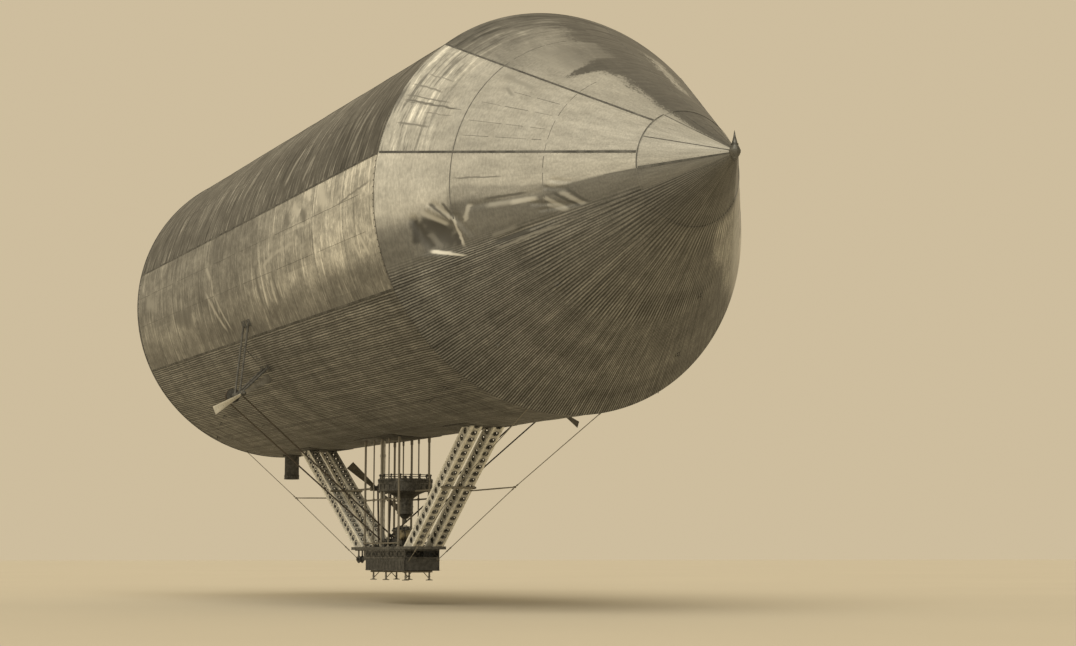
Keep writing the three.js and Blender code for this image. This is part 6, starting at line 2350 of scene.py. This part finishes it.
        # Painted shade: the second blade of each side screw and both blades of the centre screw take the
        # darkened blade sheet; the first side blade keeps the pale sheet.
        first = SHADED_BLADE if centre else BLADE
        for number, flip, finish, replaced in ((1, 1.0, first, [name]), (2, -1.0, SHADED_BLADE, [])):
            blade = Gather()
            self.blade(blade, rivets, screw, flip)
            blade.build(f"{name}_blade_{number}", finish, Slot.SCREW, *replaced, body=body, angle=30.0)
        (x, y, z), r, h = screw.hub, self.hub_radius, self.hub_half
        long = 2 * h
        nose = [(long + 0.001, r - 0.004), (long + 0.05, 0.07), (long + 0.1, 0.045), (long + 0.13, 0.018)]
        hub.turned((x - h, y, z), AHEAD, [
            (0.0, r - 0.012), (0.006, r), (0.05, r), (0.055, r - 0.01),
            (long - 0.055, r - 0.01), (long - 0.05, r), (long, r), *([] if centre else nose),
        ], 32)
        rear, front = screw.pulley_x - self.pulley_width / 2 - 0.04, x - h - 0.0003
        if centre:
            hub.bar((x, y, z), (x - h - 0.26, y, z), self.shaft, 20)
            rear, front = x + h + 0.0003, -1.72
        for place in (x - h + 0.028, x + h - 0.028):
            bolts.circle((place, y, z), AHEAD, r, 8, radial=True)
        hub.build(f"{name}_hub", IRON, Slot.SCREW, body=body)
        rivets.grow(f"{name}_rivets", Slot.SCREW, (0.008, 0.004, 0.004), body=body)
        bolts.grow(f"{name}_bolts", Slot.SCREW, (0.012, 0.010, 0.010), body=body)
        end = [(0.0, self.shaft - 0.006), (0.006, self.shaft)]
        shaft.turned((rear, y, z), AHEAD, mirrored(front - rear, end))
        self.pulley(shaft, (screw.pulley_x, y, z), self.pulley_radius)
        node = f"screw_shaft_{screw.name}"
        shaft.build(f"{node}_turned", IRON, Slot.IRON, node, body=body)

    def outrigger(self, name: str, side: float) -> None:
        """Makes the housing of a side screw's shaft and its struts up to the hull."""
        gather, plates, bolts = Gather(), Gather(), Spots()
        y, z, (rear, front), ahead = side * 5.8, -4.55, self.housing, Vector(AHEAD)
        span = front - rear
        flange = [(0.0, self.bore), (0.0, 0.085), (0.03, 0.085), (0.035, 0.07), (span * 0.5 - 0.03, 0.066)]
        gather.hoop((rear, y, z), AHEAD, mirrored(span, flange))
        for x in (rear + 0.015, front - 0.015):
            bolts.circle((x, y, z), AHEAD, 0.085, 8, radial=True)
        for x, other in (self.struts, self.struts[::-1]):
            gather.hoop((x - 0.03, y, z), AHEAD, band(0.06, 0.092, 0.0, 0.06))
            gather.bar((x, side * 5.05, -3.4), (other, side * 5.75, -2.9), 0.01, 8)
            for shift, foot_y, foot_z in ((-0.5, 4.1, -3.0), (0.1, 5.5, -1.4)):
                start = Vector((x, y, z))
                line = (Vector((x + shift, side * foot_y, foot_z)) - start).normalized()
                hull = self.meet(start, line)
                long = (hull - start).length
                gather.turned(start + line * 0.06, line, [
                    (0.0, 0.045), (0.05, 0.045), (0.06, 0.034),
                    (long - 0.14, 0.034), (long - 0.12, 0.042), (long - 0.02, 0.042),
                ], 18)
                out = Vector((0.0, hull.y / self.hull_squares[0], hull.z / self.hull_squares[1])).normalized()
                along = out.cross(ahead)
                plates.loft([
                    [hull + out * lift + ahead * (reach * a) + along * (reach * b * 0.8) for a, b in CORNERS]
                    for lift, reach in ((-0.02, 0.15), (0.012, 0.15), (0.018, 0.14))
                ])
                for a, b in product((-0.11, 0.11), (-0.085, 0.0, 0.085)):
                    bolts.add(hull + out * 0.018 + ahead * a + along * b, out)
        # Painted shade: the struts, plates and bolts take the belly's dark painted shade tone.
        gather.build(f"outrigger_{name}_struts", BELLY_SHADE_STRUT, Slot.TUBE, f"outrigger_{name}")
        plates.build(f"outrigger_{name}_plates", BELLY_SHADE_STRUT, Slot.TUBE)
        bolts.grow(f"outrigger_{name}_bolts", Slot.TUBE, (0.012, 0.010, 0.011), BELLY_SHADE_STRUT)

    def meet(self, start: Vector, line: Vector) -> Vector:
        """Gives the point where a line from below meets the barrel."""
        wide, tall = self.hull_half
        a = (line.y / wide) ** 2 + (line.z / tall) ** 2
        b = 2 * (start.y * line.y / wide**2 + start.z * line.z / tall**2)
        c = (start.y / wide) ** 2 + (start.z / tall) ** 2 - 1.0
        root = math.sqrt(max(0.0, b * b - 4 * a * c))
        return start + line * ((-b - root) / (2 * a))

    def screw_bearing(self) -> None:
        """Makes the bearing of the centre screw's shaft, on its cross arm."""
        gather, bolts = Gather(), Spots()
        x, z = -1.93, -7.45
        collar = [(0.0, self.bore), (0.0, 0.08), (0.03, 0.08), (0.035, 0.068)]
        gather.hoop((x - 0.09, 0.0, z), AHEAD, mirrored(0.18, collar))
        arm = [(0.0, 0.045), (0.05, 0.045), (0.06, 0.03), (0.42, 0.03), (0.425, 0.042), (0.474, 0.042)]
        for side in BOTH:
            gather.turned((x, side * 0.05, z), (0, side, 0), arm, 18)
            bolts.circle((x, side * 0.09, z), TO_PORT, 0.045, 6, radial=True)
        gather.build("screw_bearing_casting", IRON, Slot.IRON, "screw_bearing")
        bolts.grow("screw_bearing_bolts", Slot.IRON, (0.008, 0.007, 0.008))

    def build(self) -> None:
        """Makes the whole drive."""
        self.crankshaft()
        self.shaft_bearing()
        for screw in SCREWS:
            self.screw(screw)
            self.belt(screw)
        for name, side in SIDES.items():
            self.outrigger(name, side)
        self.screw_bearing()


# Booms, stays and small fittings


@dataclass
class Rigging:
    """The booms before and behind the platform, and the main stays with their spreaders."""

    boom_radius: float = 0.036
    boom_reach: float = 0.62
    booms: tuple = (("rear_boom", -5.8823, -3.485, -7.45), ("front_boom", 3.7930, 0.4403, -7.65))
    stay_radius: float = 0.013
    strut_radius: float = 0.023
    stays: tuple = (
        ("front", (10.95, 1.2, -5.7), (5.8, 1.0, -7.69), (0.99, 0.5, -10.0), (3.4, 0.45, -7.75)),
        ("rear", (-13.05, 1.5, -5.63), (-8.5, 1.0, -7.64), (-3.5, 0.45, -9.93), (-5.95, 0.4, -7.71)),
    )

    def boom(self, name: str, x: float, end: float, z: float) -> None:
        """Makes one boom, the rear one with its bearing cup.

        Args:
            name: The boom's name.
            x: Where its cross tube is.
            end: Where its own tube ends.
            z: Its height.
        """
        gather, bolts = Gather(), Spots()
        reach, r = self.boom_reach, self.boom_radius
        collar, boss = r + 0.012, r + 0.014
        cross = [(0.0, r - 0.008), (0.008, r), (0.05, r), (0.052, collar), (0.13, collar), (0.132, r)]
        gather.turned((x, -reach, z), TO_PORT, mirrored(2 * reach, cross))
        way, long = math.copysign(1.0, end - x), abs(end - x)
        middle, sleeve = long * 0.5, r + 0.008
        gather.turned((x, 0.0, z), (way, 0, 0), [
            (0.0, boss), (0.10, boss), (0.105, r), (middle - 0.05, r), (middle - 0.045, sleeve),
            (middle + 0.045, sleeve), (middle + 0.05, r), (long - 0.002, r),
        ])
        if name == "rear_boom":
            cup = [(0.0, 0.04), (0.0, 0.075), (0.16, 0.075), (0.17, 0.068), (0.17, 0.04)]
            gather.hoop((end - 0.01, 0.0, z), AHEAD, cup, 28)
            gather.bar((end - 0.02, 0.0, z), (end + 0.005, 0.0, z), 0.075, 28)
        for side in BOTH:
            bolts.circle((x, side * (reach - 0.09), z), TO_PORT, collar, 6, radial=True)
        bolts.circle((x + way * 0.05, 0.0, z), AHEAD, boss, 6, radial=True)
        gather.build(f"{name}_tubes", TUBE, Slot.TUBE, name)
        bolts.grow(f"{name}_bolts", Slot.TUBE, (0.009, 0.008, 0.009))

    def stay(self, name: str, side: float, points: Sequence[Point]) -> None:
        """Makes one main stay: its cables, turnbuckle, knot and spreader.

        Args:
            name: Its end and side.
            side: -1 for starboard, 1 for port.
            points: Where it leaves the hull, the spreader's tip, the lower end, and the spreader's foot.
        """
        hull, tip, low, foot = (Vector((x, side * y, z)) for x, y, z in points)
        gather = Gather()
        for start, end in ((hull, tip), (tip, low)):
            line = (end - start).normalized()
            gather.bar(start, end, self.stay_radius, 10)
            for place, way in ((start, line), (end, -line)):
                gather.turned(place + way * 0.1, way, mirrored(0.10, [(0.0, 0.014), (0.01, 0.022)]), 12)
        buckle = [(0.0, 0.014), (0.01, 0.026), (0.05, 0.026), (0.06, 0.019)]
        gather.turned(tip.lerp(low, 0.80), low - tip, mirrored(0.32, buckle), 12)
        span, r = (foot - tip).length, self.strut_radius
        strut = [(0.0, 0.03), (0.06, 0.03), (0.065, 0.018)]
        strut += [(0.3 * span, r), (0.7 * span, r), (span - 0.02, 0.018)]
        gather.turned(tip, foot - tip, strut, 14)
        gather.turned(tip - Vector((0.033, 0, 0)), AHEAD, mirrored(0.066, [(0.0, 0.02), (0.01, 0.033)]), 16)
        gather.build(f"{name}_cable", TUBE, Slot.TUBE, name)

    def build(self) -> None:
        """Makes booms and stays."""
        for boom in self.booms:
            self.boom(*boom)
        for (end, *points), (name, side) in product(self.stays, SIDES.items()):
            self.stay(f"stay_{end}_{name}", side, points)


@dataclass
class HullFittings:
    """The plates under the hull, the filling neck, the nose finial and the mooring eyes."""

    form: HullForm
    saddle_half: float = 0.9
    saddle_rise: float = 0.013
    saddles: tuple = (
        ("saddle_rear", -9.5, -7.5), ("saddle_middle", -2.95, 0.52), ("saddle_front", 4.5, 6.15),
    )
    eyes: tuple = (
        (-12.6, -62.0), (-10.2, -55.0), (-9.0, -52.0), (-6.6, -60.0), (7.4, -64.0),
        (9.3, -60.0), (10.7, -58.0), (12.4, -56.0), (14.6, -52.0),
    )

    def saddle(self, name: str, rear: float, front: float) -> None:
        """Makes one doubler plate, with rivets round its edges."""
        gather, rivets, form, rise = Gather(), Spots(), self.form, self.saddle_rise
        half_angle = math.degrees(self.saddle_half / form.half_width)
        angles = np.linspace(-90.0 - half_angle, -90.0 + half_angle, 25)
        rings = []
        for x, lift in ((rear, rise * 0.4), (rear + 0.01, rise), (front - 0.01, rise), (front, rise * 0.4)):
            outer, inner = form.point(x, angles, lift, False), form.point(x, angles[::-1], -0.04, False)
            rings.append(np.concatenate([outer, inner]).tolist())
        gather.loft(rings)
        for angle in (angles[0] + 0.5, angles[-1] - 0.5):
            form.stud(rivets, np.arange(rear + 0.06, front - 0.05, 0.12), angle, rise, False)
        for x in (rear + 0.06, front - 0.06):
            form.stud(rivets, x, np.linspace(angles[0] + 1.2, angles[-1] - 1.2, 14), rise, False)
        gather.build(f"{name}_plate", STRAP, Slot.GIRDER, name)
        rivets.grow(f"{name}_rivets", Slot.GIRDER, (0.012, 0.007, 0.006))

    def neck(self) -> None:
        """Makes the filling neck with its rolled lip, its flange and bolts."""
        gather, bolts = Gather(), Spots()
        x, low, flange = -11.8, -6.79, -5.885
        gather.hoop((x, 0.0, low), UP, [
            (0.0, 0.268), (0.0, 0.292), (0.012, 0.302), (0.03, 0.302), (0.036, 0.29), (0.15, 0.29),
            (0.156, 0.302), (0.17, 0.302), (0.176, 0.281), (1.06, 0.281), (1.06, 0.268),
        ], 48)
        gather.hoop((x, 0.0, flange), UP, band(0.279, 0.36, 0.0, 0.05), 48)
        bolts.circle((x, 0.0, flange), DOWN, 0.33, 20)
        bolts.circle((x, 0.0, low + 0.093), UP, 0.29, 20, radial=True)
        # Painted shade: the collar takes the belly's dark painted shade tone.
        gather.build("filling_neck_collar", BELLY_SHADE_STRUT, Slot.TUBE, "filling_neck")
        bolts.grow("filling_neck_bolts", Slot.TUBE, (0.012, 0.010, 0.012))

    def finial(self) -> None:
        """Makes the spike at the nose with its boss."""
        gather = Gather()
        x, low = 19.66, -0.22
        gather.turned((x, 0.0, low), UP, [
            (0.0, 0.012), (0.02, 0.036), (0.06, 0.05), (0.065, 0.062), (0.08, 0.065), (0.14, 0.108),
            (0.16, 0.122), (0.20, 0.136), (0.215, 0.145), (0.28, 0.149), (0.285, 0.136), (0.32, 0.128),
            (0.36, 0.11), (0.41, 0.086), (0.415, 0.094), (0.44, 0.094), (0.445, 0.076), (0.50, 0.062),
            (0.56, 0.046), (0.60, 0.034), (0.70, 0.018), (0.778, 0.004),
        ], 28)
        for turn in (math.pi * (quarter + 0.5) / 2 for quarter in range(4)):
            foot, top = (
                (x + math.cos(turn) * reach, math.sin(turn) * reach, low + rise)
                for reach, rise in ((0.10, 0.16), (0.052, 0.50))
            )
            gather.bar(foot, top, 0.012, 8)
        gather.build("nose_finial_spike", IRON, Slot.IRON, "nose_finial")

    def mooring_eyes(self) -> None:
        """Makes small eyes on plates, low on both sides, where lines can be made fast."""
        plates, rings, rivets = Gather(), Spots(), Spots()
        for x, angle in self.eyes:
            for turned in both_sides(angle):
                place = Vector(self.form.point(x, turned, 0.0, wrinkled=False))
                out = Vector(self.form.outward(x, turned))
                side = out.cross(Vector(AHEAD)).normalized()
                along = side.cross(out)
                plates.loft([
                    [place + out * lift + along * (0.09 * a) + side * (0.06 * b) for a, b in CORNERS]
                    for lift in (-0.04, 0.010)
                ])
                plates.turned(place, out, [(0.0, 0.022), (0.035, 0.018), (0.04, 0.012)], 10)
                rings.add(place + out * 0.075, side, out)
                for a, b in product((-0.065, 0.065), (-0.038, 0.038)):
                    rivets.add(place + out * 0.010 + along * a + side * b, out)
        plates.build("mooring_plates", HullSheet(HullPart.NOSE), Slot.HULL)
        rings.grow("mooring_rings", Slot.HULL, (0.042, 0.007, 0.0), LINE, Shape.RIM, 16)
        rivets.grow("mooring_rivets", Slot.HULL, (0.010, 0.006, 0.006))

    def build(self) -> None:
        """Makes all the fittings."""
        for saddle in self.saddles:
            self.saddle(*saddle)
        self.neck()
        self.finial()
        self.mooring_eyes()


# Stage


@dataclass
class Studio:
    """Camera, lights and floor."""

    place: Point = (55.087, -24.023, -9.859)
    heading: Point = (-0.8781, 0.4602, 0.1313)
    focal_pixels: float = 1769.6
    image_width: float = 1076.0
    sensor: float = 36.0
    clip_end: float = 3000.0
    floor_z: float = -11.45
    floor_reach: float = 900.0
    paper: Colour = (0.617, 0.512, 0.342)
    floor_tone: Colour = (0.50, 0.455, 0.36)
    warm: Colour = (1.0, 0.935, 0.80)

    def put(self, name: str, data: bpy.types.ID, heading: Point) -> bpy.types.Object:
        """Adds a camera or a light to the scene and turns it.

        Args:
            name: Its name.
            data: The camera or light.
            heading: The way that it looks or shines.

        Returns:
            The new object.
        """
        item = bpy.data.objects.new(name, data)
        item.rotation_mode = "QUATERNION"
        item.rotation_quaternion = Vector(heading).to_track_quat("-Z", "Y")
        bpy.context.scene.collection.objects.link(item)
        return item

    def camera(self) -> None:
        """Sets the camera where the picture was taken from."""
        data = bpy.data.cameras.new("camera")
        data.sensor_width = self.sensor
        data.lens = self.sensor * self.focal_pixels / self.image_width
        data.clip_end = self.clip_end
        camera = self.put("camera", data, self.heading)
        camera.location = self.place
        bpy.context.scene.camera = camera

    def light(self) -> None:
        """Sets the plain warm surroundings and two wide, soft lights from far away."""
        world = bpy.data.worlds.new("paper")
        world.use_nodes = True
        shade = world.node_tree.nodes["Background"]
        shade.inputs["Color"].default_value = (*self.paper, 1.0)
        shade.inputs["Strength"].default_value = 1.0
        bpy.context.scene.world = world
        for name, toward, strength, angle in (
            ("key", (0.62, -0.38, 0.68), 2.6, 50.0),
            ("fill", (0.35, -0.9, 0.1), 0.5, 90.0),
        ):
            data = bpy.data.lights.new(name, "SUN")
            data.energy, data.angle, data.color = strength, math.radians(angle), self.warm
            self.put(name, data, -Vector(toward))
        bpy.context.scene.view_settings.view_transform = "Standard"

    def floor(self) -> None:
        """Lays the plain pale floor."""
        mesh = bpy.data.meshes.new("floor")
        corners = [(a * self.floor_reach, b * self.floor_reach, self.floor_z) for a, b in CORNERS]
        mesh.from_pydata(corners, [], [(0, 1, 2, 3)])
        g = Graph("plain_floor")
        tone = g.noise(g.place, 0.05, 3.0).ramp(0.3, 0.7, 0.97, 1.0)
        mesh.materials.append(g.finish(g.tinted(tone, self.floor_tone), 0.9, 0.0))
        floor = bpy.data.objects.new("floor", mesh)
        bpy.context.scene.collection.objects.link(floor)

    def build(self) -> None:
        """Sets the whole stage."""
        self.camera()
        self.light()
        self.floor()


@dataclass
class NodeCoats:
    """The finishes of the CAD nodes that are shown as they are."""

    finishes: dict[Slot, Weathered] = field(default_factory=lambda: {
        Slot.HULL: GIRDER,
        Slot.GIRDER: DULL,
        Slot.TUBE: TUBE,
        Slot.IRON: IRON,
        Slot.SCREW: BLADE,
        Slot.BRASS: BRASS,
        Slot.BELT: LEATHER,
    })

    def build(self) -> None:
        """Gives each node its finish."""
        slots = {part["node"]: Slot(part["material_slot"]) for part in frame["record"]["subparts"]}
        for name, node in frame["nodes"].items():
            node.data.materials.clear()
            node.data.materials.append(self.finishes[slots[name]].material())


def main() -> None:
    """Builds the airship, piece by piece, and its stage."""
    logging.basicConfig(level=logging.INFO, format="%(message)s")
    Studio().build()
    NodeCoats().build()
    Hull(HullForm()).build()
    for end, foot_x, top_x in (("rear", -2.7, -8.15), ("front", 1.35, 5.75)):
        for name, side in SIDES.items():
            Leg(end, name, side, foot_x, top_x).build()
    for group in (Cage(), Platform(), Gondola(), Engine(), Drive(), Rigging(), HullFittings(HullForm())):
        group.build()


if __name__ == "__main__":
    main()
